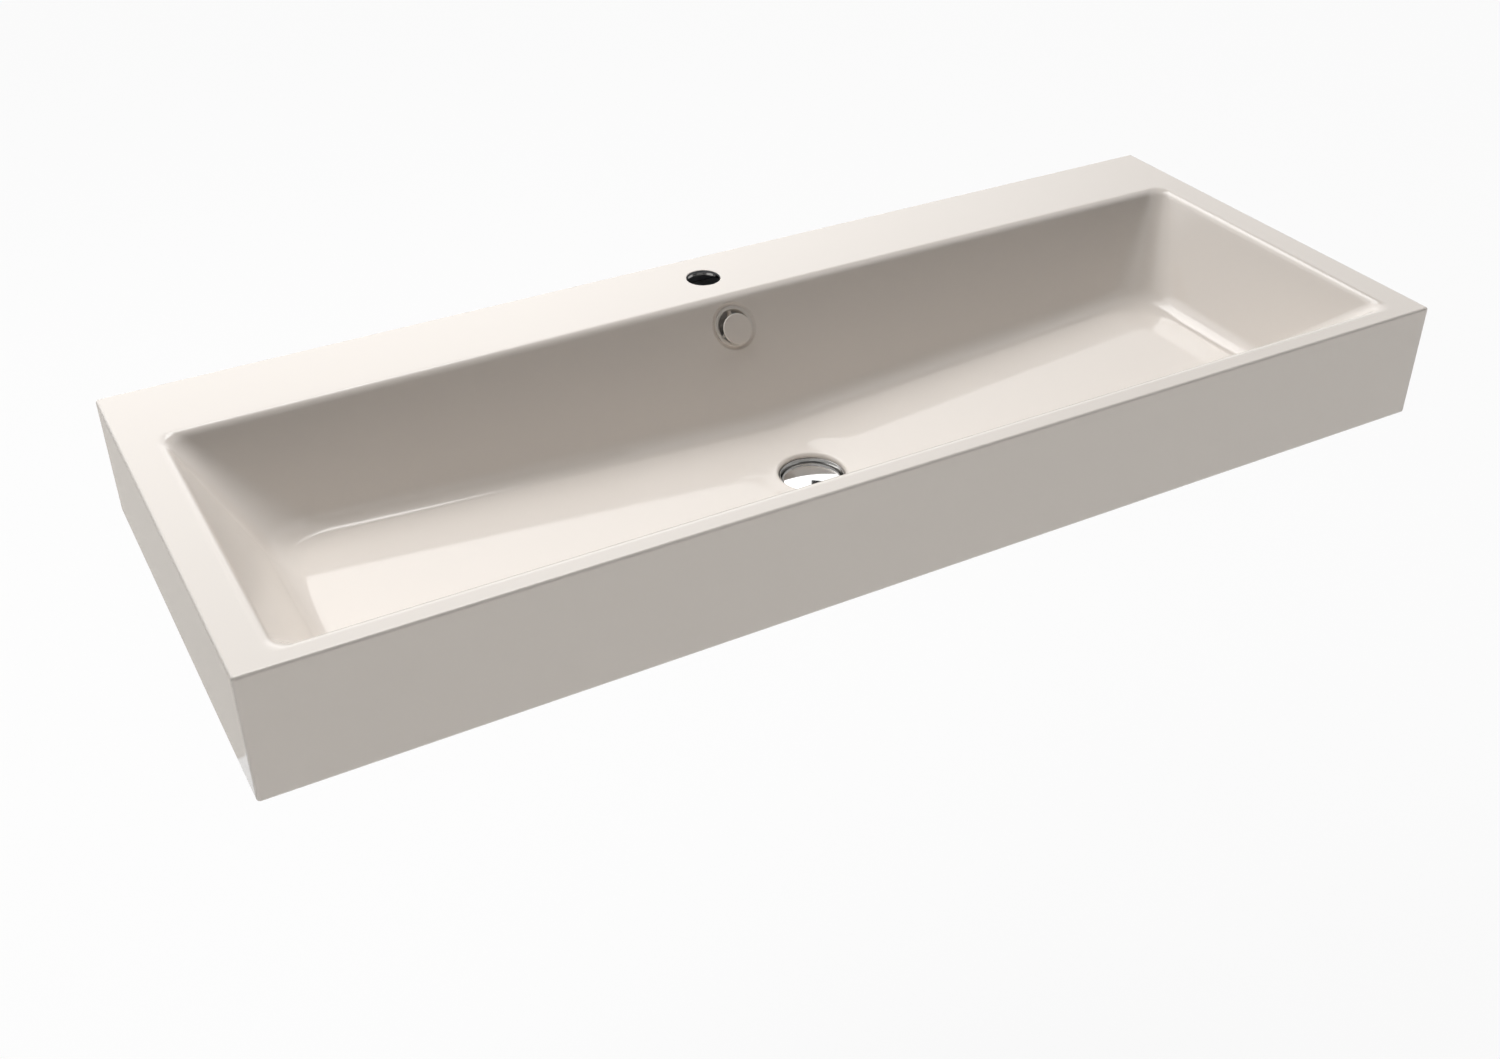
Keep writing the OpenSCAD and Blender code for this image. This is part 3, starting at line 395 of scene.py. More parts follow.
# Depth of the floor: two planes that fall to a rounded valley and level out round the waste
def floorDepth(p):
    valley = np.sqrt(p[:, 0] * p[:, 0] + basin.valleySoft * basin.valleySoft) - basin.valleySoft
    fall = math.tan(math.radians(basin.tilt)) * valley
    r = np.hypot(p[:, 0], p[:, 1] - basin.wasteY)
    inner = basin.recess + basin.lip
    t = np.clip((r - inner) / (basin.flatRound - inner), 0, 1)
    return basin.bowlDepth - fall * (t * t * (3 - 2 * t))


# Skins of the bowl: rings of points on the enamel's face, or at a distance off behind it
class Bowl:
    def __init__(self):
        s = basin
        self.halfW = s.width / 2 - s.sideRim
        self.halfD = (s.depth - s.ledge - s.frontRim) / 2
        self.midY = -s.ledge - self.halfD
        self.rise = math.radians(90 - s.lean)
        self.lean = math.tan(math.radians(s.lean))
        foot = (s.bowlDepth - math.tan(math.radians(s.tilt)) * self.halfW) * self.lean
        self.growth = (s.floorCorner - s.mouthCorner) / foot
        self.columnDepth = floorDepth(self.plan(foot, 0))

    # Plan at an inset d from the mouth: one number, or one for each column
    def plan(self, d, off):
        r = basin.mouthCorner + self.growth * (d + off) + off
        return roundRect(self.midY, self.halfW - d, self.halfD - d, r)

    def start(self, off):
        return -off * math.tan(self.rise / 2)

    # Ring of the turn from the rim, at a share 0 to 1 of the turn
    def rimRing(self, share, off):
        r, turn = basin.rimTurn - off, self.rise * share
        d = self.start(off) + r * (math.sin(turn) - math.tan(self.rise / 2))
        z = basin.rim - off - r * (1 - math.cos(turn))
        return np.column_stack([self.plan(d, off), np.full(columnCount, z)])

    # Ring of the turn into the floor, at a share 0 to 1 of the turn from the wall
    def floorRing(self, share, off):
        r, turn = basin.floorTurn + off, self.rise * (1 - share)
        d = self.start(off) + self.columnDepth * self.lean + r * (math.tan(self.rise / 2) - math.sin(turn))
        p = self.plan(d, off)
        depth = self.columnDepth + (floorDepth(p) - self.columnDepth) * share
        return np.column_stack([p, basin.rim - off - depth + r * (1 - math.cos(turn))])

    # Rings from the mouth's flat rim down to the flat floor
    def rings(self, off):
        rim = [self.rimRing(share, off) for share in np.linspace(0, 1, grids["rim"])]
        floor = [self.floorRing(share, off) for share in np.linspace(0, 1, grids["floor"])]
        wall = [rim[-1] + (floor[0] - rim[-1]) * share for share in guarded(*grids["wall"])]
        return rim + wall + floor

    # Rings of the floor from its outer ring to a circle round the waste, and the angles of that circle
    def floorLoft(self, outer, radius, off):
        seen = np.arctan2(outer[:, 1] - basin.wasteY, outer[:, 0])
        even = np.linspace(0, 2 * np.pi, columnCount, endpoint=False)
        gap = wrapped(seen - even)
        angle = even + gap.mean() + (gap - gap.mean()) * grids["twist"]
        circle = np.column_stack([radius * np.cos(angle), basin.wasteY + radius * np.sin(angle)])
        rows = []
        for share in guarded(*grids["loft"]):
            p = outer[:, :2] + (circle - outer[:, :2]) * share
            rows.append(np.column_stack([p, basin.rim - off - floorDepth(p)]))
        return rows, angle


# All rings of the sheet, from the top of the waste hole out over rim and apron and back underneath, and
# the name of the part that each belongs to
def basinRings():
    s, bowl = basin, Bowl()
    t, seat, foot = s.sheet, -s.recessDepth, s.rim - s.apron
    names, rings = [], []

    def add(part, *new):
        names.extend([part] * len(new))
        rings.extend(new)

    # Rings round the waste, from outlines of radius and height below the valley
    def recessRings(angle, *outlines):
        return [np.column_stack([r * np.cos(angle), s.wasteY + r * np.sin(angle),
                                 np.full(columnCount, s.rim - s.bowlDepth + z)])
                for r, z in np.concatenate(outlines)]

    # Ring at an inset from the basin's outline
    def apronRing(inset, z, r=s.innerCorner):
        p = roundRect(-s.depth / 2, s.width / 2 - inset, s.depth / 2 - inset, r)
        return np.column_stack([p, np.full(columnCount, z)])

    def between(a, b):
        return [a + (b - a) * share for share in guarded(*grids["flat"])]

    top, under = bowl.rings(0), bowl.rings(t)
    mouth, bend = s.recess + s.lip, s.recessFoot
    loft, angle = bowl.floorLoft(top[-1], mouth, 0)
    add("recess", *recessRings(
        angle, [[s.wasteHole + fine, seat], [s.recess - bend - fine, seat]],
        arc(s.recess - bend, seat + bend, bend, -90, 0, 5),
        [[s.recess, seat + bend + fine], [s.recess, -s.lip - fine]], arc(mouth, -s.lip, s.lip, 180, 90, 7)))
    add("floor", *loft[::-1])
    add("bowl", *top[::-1])

    # Turns at the apron's top and foot, as pairs of the near and the far distance to the corner
    quarter = np.radians(np.linspace(0, 90, 6))
    turn = [(s.edge * (1 - math.sin(a)), s.edge * (1 - math.cos(a))) for a in quarter]
    edge = [apronRing(inset, s.rim - drop, s.outerCorner - inset) for inset, drop in turn]
    bottom = [apronRing(inset, foot + lift, s.outerCorner - inset) for lift, inset in turn]
    add("rim", *between(top[0], edge[0]))
    add("edge", *edge)
    add("apron", *between(edge[-1], bottom[0]))
    add("bottom", *bottom)

    lip = t / 2
    add("return", apronRing(s.edge + small, foot), apronRing(s.returnWidth - lip - small, foot))
    add("return", *[apronRing(s.returnWidth - lip + lip * math.cos(a), foot + lip + lip * math.sin(a))
                    for a in np.radians(np.linspace(-90, 90, 7))])
    wallFoot, wallTop = apronRing(t, foot + t + small), apronRing(t, s.rim - t - small)
    add("inside", apronRing(t + small, foot + t), wallFoot)
    add("insideApron", *between(wallFoot, wallTop))
    add("inside", wallTop)
    add("underRim", *between(apronRing(t + small, s.rim - t), under[0]))
    add("under", *under)
    cup, low = s.recess + t, seat - t
    loft, angle = bowl.floorLoft(under[-1], cup + s.cupLip, t)
    add("underFloor", *loft)
    add("cup", *recessRings(
        angle, arc(cup + s.cupLip, -t - s.cupLip, s.cupLip, 90, 180, 5),
        [[cup, -t - s.cupGuard], [cup, low + s.cupGuard]],
        arc(cup - s.cupFoot, low + s.cupFoot, s.cupFoot, 0, -90, 6),
        [[cup - s.cupGuard, low], [s.wasteHole + fine, low], [s.wasteHole, low + fine],
         [s.wasteHole, seat - fine]]))
    return bowl, np.array(names), np.array(rings)


# Loop of grid places round a block of faces, in the order of a walk round it
def blockLoop(j0, j1, i0, i1):
    return ([(j0, i) for i in range(i0, i1)] + [(j, i1) for j in range(j0, j1)]
            + [(j1, i) for i in range(i1, i0, -1)] + [(j, i0) for j in range(j1, j0, -1)])


# Profile of a straight hole of radius r from height 0 down to -depth, with rounded lips
def plainHole(r, depth, lip):
    return np.concatenate([arc(r + lip, -lip, lip, 90, 180, 5), arc(r + lip, -depth + lip, lip, 180, 270, 5)])


# The drawn sheet as one closed skin. Its grid has a ring for each place along the section and a column
# for each place round it. Each hole replaces a block of faces by rings that run from the block's edge
# to a circle, through the sheet, and out to the matching block on the other side.
def makeBasin():
    s, t = basin, basin.sheet
    bowl, names, rings = basinRings()
    flat = rings.reshape(-1, 3)
    grid = closedGrid(len(rings), columnCount, closeRows=True)
    keep = np.ones((len(rings), columnCount), dtype=bool)
    points, holes = [flat], []

    # Block of faces on a part of the section within reach of a hole's axis
    def block(part, centre, reach):
        js = np.flatnonzero(names == part)
        near = np.linalg.norm(rings[js] - centre, axis=2) < reach
        jHit, iHit = js[near.any(axis=1)], np.flatnonzero(near.any(axis=0))
        return max(jHit.min() - 1, js[0]), min(jHit.max() + 1, js[-1]), iHit.min() - 1, iHit.max() + 1

    # Hole from one block of faces to another, whose profile of radius and height stands on u and v
    def drill(top, bottom, centre, u, v, profile):
        for j0, j1, i0, i1 in (top, bottom):
            keep[j0:j1, i0:i1] = False
        loopA, loopB = ([grid[p] for p in blockLoop(*edges)] for edges in (top, bottom))
        loopB = loopB[:1] + loopB[:0:-1]
        a, b = flat[loopA], flat[loopB]
        angleA, angleB = (np.arctan2((p - centre) @ v, (p - centre) @ u) for p in (a, b))
        turnBy = int(np.argmin(np.abs(wrapped(angleB - angleA[0]))))
        loopB, b, angleB = (np.roll(q, -turnBy, axis=0) for q in (loopB, b, angleB))
        gap, guard = wrapped(angleB - angleA), grids["holeGuard"]

        def circle(angle, r, z):
            return centre + r * (np.outer(np.cos(angle), u) + np.outer(np.sin(angle), v)) + z * np.cross(u, v)

        start, end = circle(angleA, *profile[0]), circle(angleB, *profile[-1])
        steps = np.linspace(0, 1, grids["approach"])[1:-1]
        new = [a + (start - a) * q for q in np.append(steps, 1 - guard)]
        new += [circle(angleA + gap * q, r, z) for q, (r, z) in zip(np.linspace(0, 1, len(profile)), profile)]
        new += [end + (b - end) * q for q in np.append(guard, steps)]
        new = np.array(new)
        inside = np.arange(len(new) * len(a)).reshape(len(new), -1) + sum(len(p) for p in points)
        loops = np.concatenate([[loopA], inside, [loopB]])
        points.append(new.reshape(-1, 3))
        holes.append(gridQuads(np.concatenate([loops, loops[:, :1]], axis=1)))

    ux, uy, uz = np.eye(3)
    tap = np.array([0, s.tapY, s.rim])
    drill(block("rim", tap, s.tapReach), block("underRim", tap - t * uz, s.tapReach), tap, ux, uy,
          plainHole(s.tapHole, t, s.holeLip))

    up = np.array([0, math.sin(math.radians(s.lean)), math.cos(math.radians(s.lean))])
    middle = np.array(overflowAxis)
    run = (s.dish - s.overflowHole) * s.dishSlope
    # Pressed dish: a soft slope from its edge down to a flat round the hole, and the same slope behind it
    slope = [[s.dish - run * q, -s.dishDepth * (1 - math.cos(math.pi * q)) / 2] for q in np.linspace(0, 1, 8)]
    behind = [[r + s.dishBack, z - t] for r, z in slope[::-1]]
    dish = np.concatenate([slope, plainHole(s.overflowHole, t, s.holeLip) - [0, s.dishDepth], behind])
    wallTop, wallUnder = [np.flatnonzero(names == part) for part in ("bowl", "under")]
    j0, j1, i0, i1 = block("bowl", middle, s.dishReach)
    j0, j1 = max(j0, wallTop[0]), wallTop[-1] - grids["rim"] + 1
    k0 = wallUnder[0] + grids["rim"] - 1
    drill((j0, j1, i0, i1), (k0, k0 + j1 - j0, i0, i1), middle, ux, up, dish)

    for side in (-1, 1):
        bolt = np.array([side * s.fixingX, 0, 0])
        j0, j1, i0, i1 = block("apron", bolt, s.fixingReach)
        k0 = block("insideApron", bolt - t * uy, s.fixingReach)[0]
        drill((j0, j1, i0, i1), (k0, k0 + j1 - j0, i0, i1), bolt, -ux, uz, plainHole(s.fixingHole, t, soft))

    allPoints = np.concatenate(points)
    quads = np.concatenate([gridQuads(grid)[keep.ravel()]] + holes)
    piece = addPiece("basin", allPoints, quads[:, ::-1], name="basinSkin")
    # Ground coat covers the hidden side, up to the return's inner edge; below a small depth the wall of the
    # tap hole takes the same dark tone as painted shade
    hidden = np.isin(names, ["inside", "insideApron", "underRim", "under", "underFloor", "cup"])
    groundCoatAndHoleShade = np.zeros(len(allPoints), dtype=np.float32)
    groundCoatAndHoleShade[:len(flat)] = np.repeat(hidden, columnCount)
    inTapHole = np.hypot(allPoints[:, 0], allPoints[:, 1] - s.tapY) < s.tapHole + small
    groundCoatAndHoleShade[inTapHole & (allPoints[:, 2] < s.rim - s.groundEdge)] = 1
    piece.data.attributes.new("groundCoatAndHoleShade", "FLOAT", "POINT").data.foreach_set("value", groundCoatAndHoleShade)
    return len(allPoints)


print("drew the basin", makeBasin(), "points")


# Waste, overflow and fixings as smooth turned skins

# Levels of the waste below the valley and sizes of its pieces. A thread has its pitch and its depth, the
# flange its radius and thickness, the cup's floor its under side and its top, and the flutes their count,
# their depth and the power that keeps them narrow.
wasteShape = {
    "axis": wasteAxis, "cupRadius": 31.9 * mm, "cupWall": 1.4 * mm, "cupEdge": -4 * mm,
    "cupFloor": (-16.5 * mm, -14 * mm), "footTurn": 2 * mm, "innerTurn": 1.5 * mm, "shank": 22.3 * mm,
    "shankBore": 19 * mm, "shankLowBore": 17.5 * mm, "shankFoot": -43.5 * mm, "ledge": -34.5 * mm,
    "shankThread": (2 * mm, 0.55 * mm), "sealTop": -basin.recessDepth - basin.sheet, "washerTop": -26 * mm,
    "bodyTop": -27.5 * mm, "flange": (34 * mm, 5 * mm), "flangeRim": 3 * mm, "flangeTurn": 1.2 * mm,
    "flutes": (24, 0.7 * mm, 3), "body": 27 * mm, "chamber": 23 * mm, "bodyFoot": -70.5 * mm,
    "bodyFloor": 4 * mm, "tail": 20.95 * mm, "tailBore": 18 * mm, "tailEnd": -104.5 * mm,
    "tailThread": (2.309 * mm, 0.9 * mm), "plain": 6 * mm, "port": 15 * mm, "portBore": 8.5 * mm,
    "portReach": 56 * mm, "portZ": -53.5 * mm, "hoseHole": 12.3 * mm, "plugIn": 12 * mm,
    "socketThread": (2 * mm, 0.7 * mm),
}
waste = values(wasteShape)

# Places along the axis of the overflow, which runs out through the dish, and sizes of its pieces. The clip
# has its two radii and its foot, and the rings keep the cap's face flat.
overflowShape = {
    "axis": overflowAxis, "tilt": 90 - basin.lean,
    "cap": 15.7 * mm, "capThick": 2.3 * mm, "capEdge": 0.8 * mm, "capLip": 1.2 * mm, "standoff": 5.2 * mm,
    "capRings": (0.7, 0.3, 0), "drop": 3.9 * mm, "clip": (6.15 * mm, 7.35 * mm, -1.35 * mm),
    "clipSink": 1 * mm, "clipSoft": 0.25 * mm,
    "back": -27.5 * mm, "flangeTop": -7.5 * mm, "flange": 26 * mm, "flangeThick": 3 * mm, "flangeRim": 2 * mm,
    "cup": 21.5 * mm, "cupTurn": 2.5 * mm, "innerTurn": 1.5 * mm, "wall": 2.2 * mm,
    "boss": 5 * mm, "bossLong": 20.65 * mm, "tube": 11 * mm, "tubeTurn": 1.2 * mm, "tubeY": -98.7 * mm,
    "tubeTop": 13.9 * mm, "foot": -21 * mm, "socket": waste.port, "socketLong": 15 * mm,
    "socketEdge": 0.7 * mm,
}
overflow = values(overflowShape)


# Section between two radii and two heights
def boxed(r0, z0, r1, z1):
    return [[r0, z0], [r1, z0], [r1, z1], [r0, z1]]


# Closed outline whose corners are rounded off: each corner becomes a quadratic curve between two points
# that lie the given distance, or two fifths of the side, away from it. An open outline keeps its ends.
def softened(outline, cut, count=4, closed=True):
    p = np.asarray(outline, dtype=float)
    before, after = np.roll(p, 1, axis=0) - p, np.roll(p, -1, axis=0) - p
    ends = []
    for side in (before, after):
        long = np.linalg.norm(side, axis=1, keepdims=True)
        ends.append(p + side / np.maximum(long, 1e-9) * np.minimum(cut, long * 0.4))
    a, b = ends
    t = np.linspace(0, 1, count)[None, :, None]
    curve = (1 - t) ** 2 * a[:, None] + 2 * t * (1 - t) * p[:, None] + t * t * b[:, None]
    if closed:
        return curve.reshape(-1, 2)
    return np.concatenate([p[:1], curve[1:-1].reshape(-1, 2), p[-1:]])


# Stretch of an outline at radius r between two heights, with points close enough for a thread
def stretch(r, z0, z1, step=0.25 * mm):
    z = np.linspace(z0, z1, max(int(abs(z1 - z0) / step), 2))
    return np.stack([np.full(len(z), r), z], axis=1)


threadPower = 0.7  # under 1, the valleys of a thread are wider than its crests


# Helical thread: radius lowered by a rounded saw of the height and the angle, faded out at both ends
def threadWave(z0, z1, pitch, depth, radius):
    def wave(a, z, r):
        turn = z / pitch - a / (2 * np.pi)
        cut = (0.5 - 0.5 * np.cos(2 * np.pi * turn)) ** threadPower
        ends = np.clip((z - z0) / pitch, 0, 1) * np.clip((z1 - z) / pitch, 0, 1)
        return -depth * cut * ends * (np.abs(r - radius) < 1e-6)
    return wave


# Skins joined to one piece in the place of a CAD node
def joinedPiece(node, *skins, rideOn=basinBody):
    points, quads, tris = zip(*skins)
    starts = np.cumsum([0] + [len(p) for p in points])
    quads, tris = (np.concatenate([face + start for face, start in zip(faces, starts)])
                   for faces in (quads, tris))
    addPiece(node, np.concatenate(points), quads, tris, rideOn)


# Cap: a flat disc with a soft edge that lies lower than the clip ring behind it
def makeOverflowCap():
    s, r = overflow, overflow.cap
    low, top, lip = s.standoff, s.standoff + s.capThick, r - s.capLip
    outline = [
        [[0, low + soft], [lip - small, low + soft], [lip, low], [r - fine, low], [r, low + fine]],
        arc(r - s.capEdge, top - s.capEdge, s.capEdge, 0, 90, 10), [[r * share, top] for share in s.capRings],
    ]
    tilt = math.radians(s.tilt)
    down = np.array([0, -math.cos(tilt), -math.sin(tilt)]) * s.drop
    disc = turned(outline, s.axis + down, s.tilt)
    inner, outer, foot = s.clip
    section = softened(boxed(inner, foot, outer, low + s.clipSink), s.clipSoft)
    clip = turned([section], s.axis, s.tilt, steps=thinSteps)
    joinedPiece("overflow_cap", disc, clip)


# A spoke has its width and its height, and reaches from one radius to another
insertShape = {
    "collar": 20.5 * mm, "ring": 17.85 * mm, "bore": 17.2 * mm, "sink": -1.5 * mm, "foot": -11.5 * mm,
    "hub": 6 * mm, "hubTop": 3.35 * mm, "head": 4.4 * mm, "seat": -play, "shaft": 2.65 * mm,
    "spoke": (3 * mm, 5 * mm), "reach": (5 * mm, 16.6 * mm), "turns": (0, 120, 240), "hubSteps": 48,
}


# Insert in the wall: collar and ring round the opening, and three spokes that carry the hub of the screw
def makeOverflowInsert():
    s, o = values(insertShape), overflow
    wide, high = s.spoke
    low = s.sink - high
    ring = softened([[s.bore, s.foot], [s.ring, s.foot], [s.ring, s.sink], [s.collar, s.sink], [s.collar, 0],
                     [s.bore, 0]], soft)
    hub = softened([[s.shaft, low], [s.hub, low], [s.hub, s.hubTop], [s.head, s.hubTop], [s.head, s.seat],
                    [s.shaft, s.seat]], small)
    skins = [turned([ring], o.axis, o.tilt), turned([hub], o.axis, o.tilt, steps=s.hubSteps)]
    section = softened(boxed(-wide / 2, low, wide / 2, s.sink), soft, 3)
    count = len(section)
    ends = [np.column_stack([section[:, 0], np.full(count, reach), section[:, 1]]) for reach in s.reach]
    spoke = np.concatenate(ends + [end.mean(axis=0)[None] for end in ends])
    grid = closedGrid(2, count)
    tips = np.full(count, 2 * count)
    tris = np.concatenate([np.stack([tips, grid[0, 1:], grid[0, :-1]], axis=1),
                           np.stack([tips + 1, grid[1, :-1], grid[1, 1:]], axis=1)])
    for t in np.radians(s.turns):
        spin = np.array([[math.cos(t), math.sin(t), 0], [-math.sin(t), math.cos(t), 0], [0, 0, 1]])
        skins.append((spoke @ spin @ tiltRows(o.tilt) + o.axis, gridQuads(grid)[:, ::-1], tris))
    joinedPiece("overflow_insert", *skins)


# Cup in the recess and its threaded shank: chrome on the real basin, drawn with a darker steel tone that
# paints the dark reflection on its wall
def makeWasteCup():
    s = waste
    low, seat = s.cupFloor
    r, f, w, turn = s.cupRadius, s.footTurn, s.cupWall, s.innerTurn
    z0, z1 = s.shankFoot + 2 * fine, low - 4 * fine
    outline = [
        [[s.shankLowBore + fine, s.shankFoot], [s.shank - soft, s.shankFoot],
         [s.shank - hair / 2, z0 - hair]],
        stretch(s.shank, z0, z1), [[s.shank, low - hair], [s.shank + hair, low]],
        arc(r - f, low + f, f, -90, 0, 8), arc(r - w / 2, s.cupEdge - w / 2, w / 2, 0, 180, 10),
        arc(r - w - turn, seat + turn, turn, 0, -90, 7),
        [[s.shankBore + 2 * small, seat], [s.shankBore + soft / 2, seat - hair],
         [s.shankBore, seat - 2 * small], [s.shankBore, s.ledge + hair], [s.shankBore - hair, s.ledge],
         [s.shankLowBore + fine, s.ledge], [s.shankLowBore, s.ledge - fine],
         [s.shankLowBore, s.shankFoot + fine]],
    ]
    thread = threadWave(z0, z1, *s.shankThread, s.shank)
    joinedPiece("waste_cup", turned(outline, s.axis, wave=thread, steps=wideSteps))


# Body of the waste: flange with grip flutes, chamber, threaded tailpiece and side socket
def makeWasteBody():
    s, turn = waste, waste.innerTurn
    flange, thick = s.flange
    top, foot, floor = s.bodyTop, s.bodyFoot, s.bodyFoot + s.bodyFloor
    low, bore = top - thick, s.shank + play
    z0, z1 = s.tailEnd + 2 * small, foot - s.plain
    outline = [
        [[s.tailBore + soft, s.tailEnd], [s.tail - 3 * fine, s.tailEnd], [s.tail - hair, z0 - hair / 2]],
        stretch(s.tail, z0, z1), [[s.tail, foot - 2 * small], [s.tail + 2 * small, foot]],
        arc(s.body - turn, foot + turn, turn, -90, 0, 6),
        stretch(s.body, foot + 2 * turn, low - turn, 2 * mm),
        arc(s.body + s.flangeTurn, low - s.flangeTurn, s.flangeTurn, 180, 90, 5),
        softened(boxed(flange - s.flangeRim, low, flange, top), 2 * fine, 5, closed=False),
        [[s.shank + 3 * fine, top], [bore, top - 2 * fine], [bore, s.shankFoot],
         [s.chamber, s.shankFoot - fine], [s.chamber, floor + s.footTurn], [s.chamber - s.footTurn, floor],
         [s.tailBore, floor], [s.tailBore, s.tailEnd + soft]],
    ]
    thread = threadWave(z0, z1, *s.tailThread, s.tail)

    # Thread on the tailpiece, and shallow flutes round the flange
    def wave(a, z, r):
        count, depth, power = s.flutes
        onFlange = (r > flange - fine) & (z > low + hair) & (z < top - hair)
        return thread(a, z, r) - depth * (0.5 + 0.5 * np.cos(count * a)) ** power * onFlange

    port, end, root = s.port, s.portReach, s.body - s.flangeRim
    side = [
        [[s.portBore, root], [port + turn, root], [port + turn, s.body + 2 * fine],
         [port + small, s.body + 4 * small]],
        stretch(port, s.body + 6 * small, end - 2 * small),
        [[port - 2 * fine, end], [s.hoseHole + small, end], [s.hoseHole, end - small],
         [s.hoseHole, end - s.plugIn], [s.portBore, end - s.plugIn]],
    ]
    ring = threadWave(s.body + s.plain, end - 2 * small, *s.socketThread, port)
    socket = turned(side, np.add(s.axis, [0, 0, s.portZ]), -90.0, ring)
    joinedPiece("waste_body", turned(outline, s.axis, wave=wave, steps=flutedSteps), socket)


# Elbow behind the back wall: flange and cup on the overflow's axis, down tube and threaded socket below
def makeOverflowElbow():
    s, turn, step = overflow, overflow.innerTurn, 2 * soft
    low, inner = s.flangeTop - s.flangeThick, s.cup - s.wall
    floor, bossTop = s.back + s.wall, s.back + s.bossLong
    cup = [
        [[0, s.back]], arc(s.cup - s.cupTurn, s.back + s.cupTurn, s.cupTurn, -90, 0, 7),
        [[s.cup, low - step], [s.cup + fine, low - fine], [s.cup + step, low]],
        softened(boxed(s.flange - s.flangeRim, low, s.flange, s.flangeTop), 2 * fine, 4, closed=False),
        [[inner + small, s.flangeTop], [inner, s.flangeTop - small], [inner, floor + turn],
         [inner - turn, floor], [s.boss + step, floor], [s.boss, floor + step], [s.boss, bossTop - fine],
         [s.boss - fine, bossTop], [0, bossTop]],
    ]
    foot, socket, tube, hole, bend = s.foot, s.socket, s.tube, waste.hoseHole, s.tubeTurn
    top, start = foot + s.socketLong, foot + s.socketEdge
    down = [
        [[hole + fine, foot], [socket - 2 * fine, foot]], stretch(socket, start, top - 2 * small),
        [[socket - fine, top - hair], [socket - 3 * fine, top], [tube + bend, top], [tube + fine, top + fine],
         [tube, top + bend], [tube, s.tubeTop], [tube - s.wall, s.tubeTop],
         [tube - s.wall, foot + waste.plugIn], [hole, foot + waste.plugIn], [hole, foot + fine]],
    ]
    pitch, depth = waste.socketThread
    thread = threadWave(start, top - pitch, pitch, depth, socket)
    joinedPiece("overflow_elbow", turned(cup, s.axis, s.tilt), turned(down, (0, s.tubeY, 0), wave=thread))


# The ribs are a wave with a middle and a swing, cut off at 0 and 1. Both ends stand in their sockets.
hoseShape = {
    "crest": 12 * mm, "root": 10.3 * mm, "bore": waste.portBore, "pitch": 4 * mm, "wave": (0.5, 0.95),
    "bend": 56 * mm, "top": overflow.foot + waste.plugIn - play, "low": waste.axis[2] + waste.portZ,
    "startY": overflow.tubeY, "endY": waste.axis[1] + waste.portReach - waste.plugIn + play,
    "cuff": 22.5 * mm, "sides": 40, "step": 0.4 * mm,
}
hose = values(hoseShape)


# Hose: circles square to a route that drops, turns a quarter and runs level, with ribs whose radius
# follows a flattened wave of the length
def makeHose():
    s = hose
    drop, turn = s.top - s.low - s.bend, s.bend * math.pi / 2
    length = drop + turn + s.startY - s.bend - s.endY
    along = np.append(np.arange(0, length, s.step), length)
    back = along[::-4]
    phase = (along - s.cuff) / s.pitch
    inRibs = (phase > 0) & (phase < int((length - 2 * s.cuff) / s.pitch))
    wave = np.clip(s.wave[0] + s.wave[1] * np.cos(2 * np.pi * phase), 0, 1)
    outer = np.where(inRibs, s.root + (s.crest - s.root) * wave, s.crest)
    d, r = np.append(along, back)[:, None], np.append(outer, np.full(len(back), s.bore))[:, None]
    a = np.clip((d - drop) / turn, 0, 1) * np.pi / 2
    y = s.startY - s.bend * (1 - np.cos(a)) - np.maximum(d - drop - turn, 0)
    z = s.top - np.minimum(d, drop) - s.bend * np.sin(a)
    b = np.linspace(0, 2 * np.pi, s.sides, endpoint=False)[None, :]
    points = np.stack([r * np.cos(b), y + r * np.sin(b) * np.cos(a), z - r * np.sin(b) * np.sin(a)], axis=-1)
    quads = gridQuads(closedGrid(len(d), s.sides, closeRows=True))[:, ::-1]
    addPiece("overflow_hose", points.reshape(-1, 3), quads)


nutShape = {
    "radius": 18.2 * mm, "grip": 0.8 * mm, "lobes": 24, "wave": (0.5, 0.8), "plain": (1.5 * mm, 2 * mm),
    "fade": 1 * mm, "start": -11.5 * mm, "end": 6.5 * mm, "turn": 1.6 * mm, "turnStart": 15,
    "shoulder": 2.5 * mm, "bore": waste.port + play, "mouth": waste.hoseHole,
}


# Union nuts with grip flutes round them, between two plain ends
def makeNuts():
    s = values(nutShape)
    r, turn, seat = s.radius, s.turn, s.end - s.shoulder

    def wave(a, z, radius):
        low, high = (np.clip(q / s.fade, 0, 1) for q in (z - s.start - s.plain[0], s.end - s.plain[1] - z))
        lobes = np.clip(s.wave[0] + s.wave[1] * np.cos(s.lobes * a), 0, 1)
        return s.grip * lobes * low * high * (radius > r - hair)

    outline = [
        [[s.bore + small, s.start], [r - soft, s.start]], stretch(r, s.start + soft, s.end - turn, soft),
        arc(r - turn, s.end - turn, turn, s.turnStart, 90, 6),
        [[s.mouth + soft, s.end], [s.mouth, s.end - soft], [s.mouth, seat], [s.bore, seat],
         [s.bore, s.start + small]],
    ]
    upper, lower = (0, overflow.tubeY, overflow.foot), (0, waste.axis[1] + waste.portReach, hose.low)
    ends = ((upper, 180.0), (lower, -90.0))
    joinedPiece("hose_nuts", *[turned(outline, at, tilt, wave, flutedSteps) for at, tilt in ends])


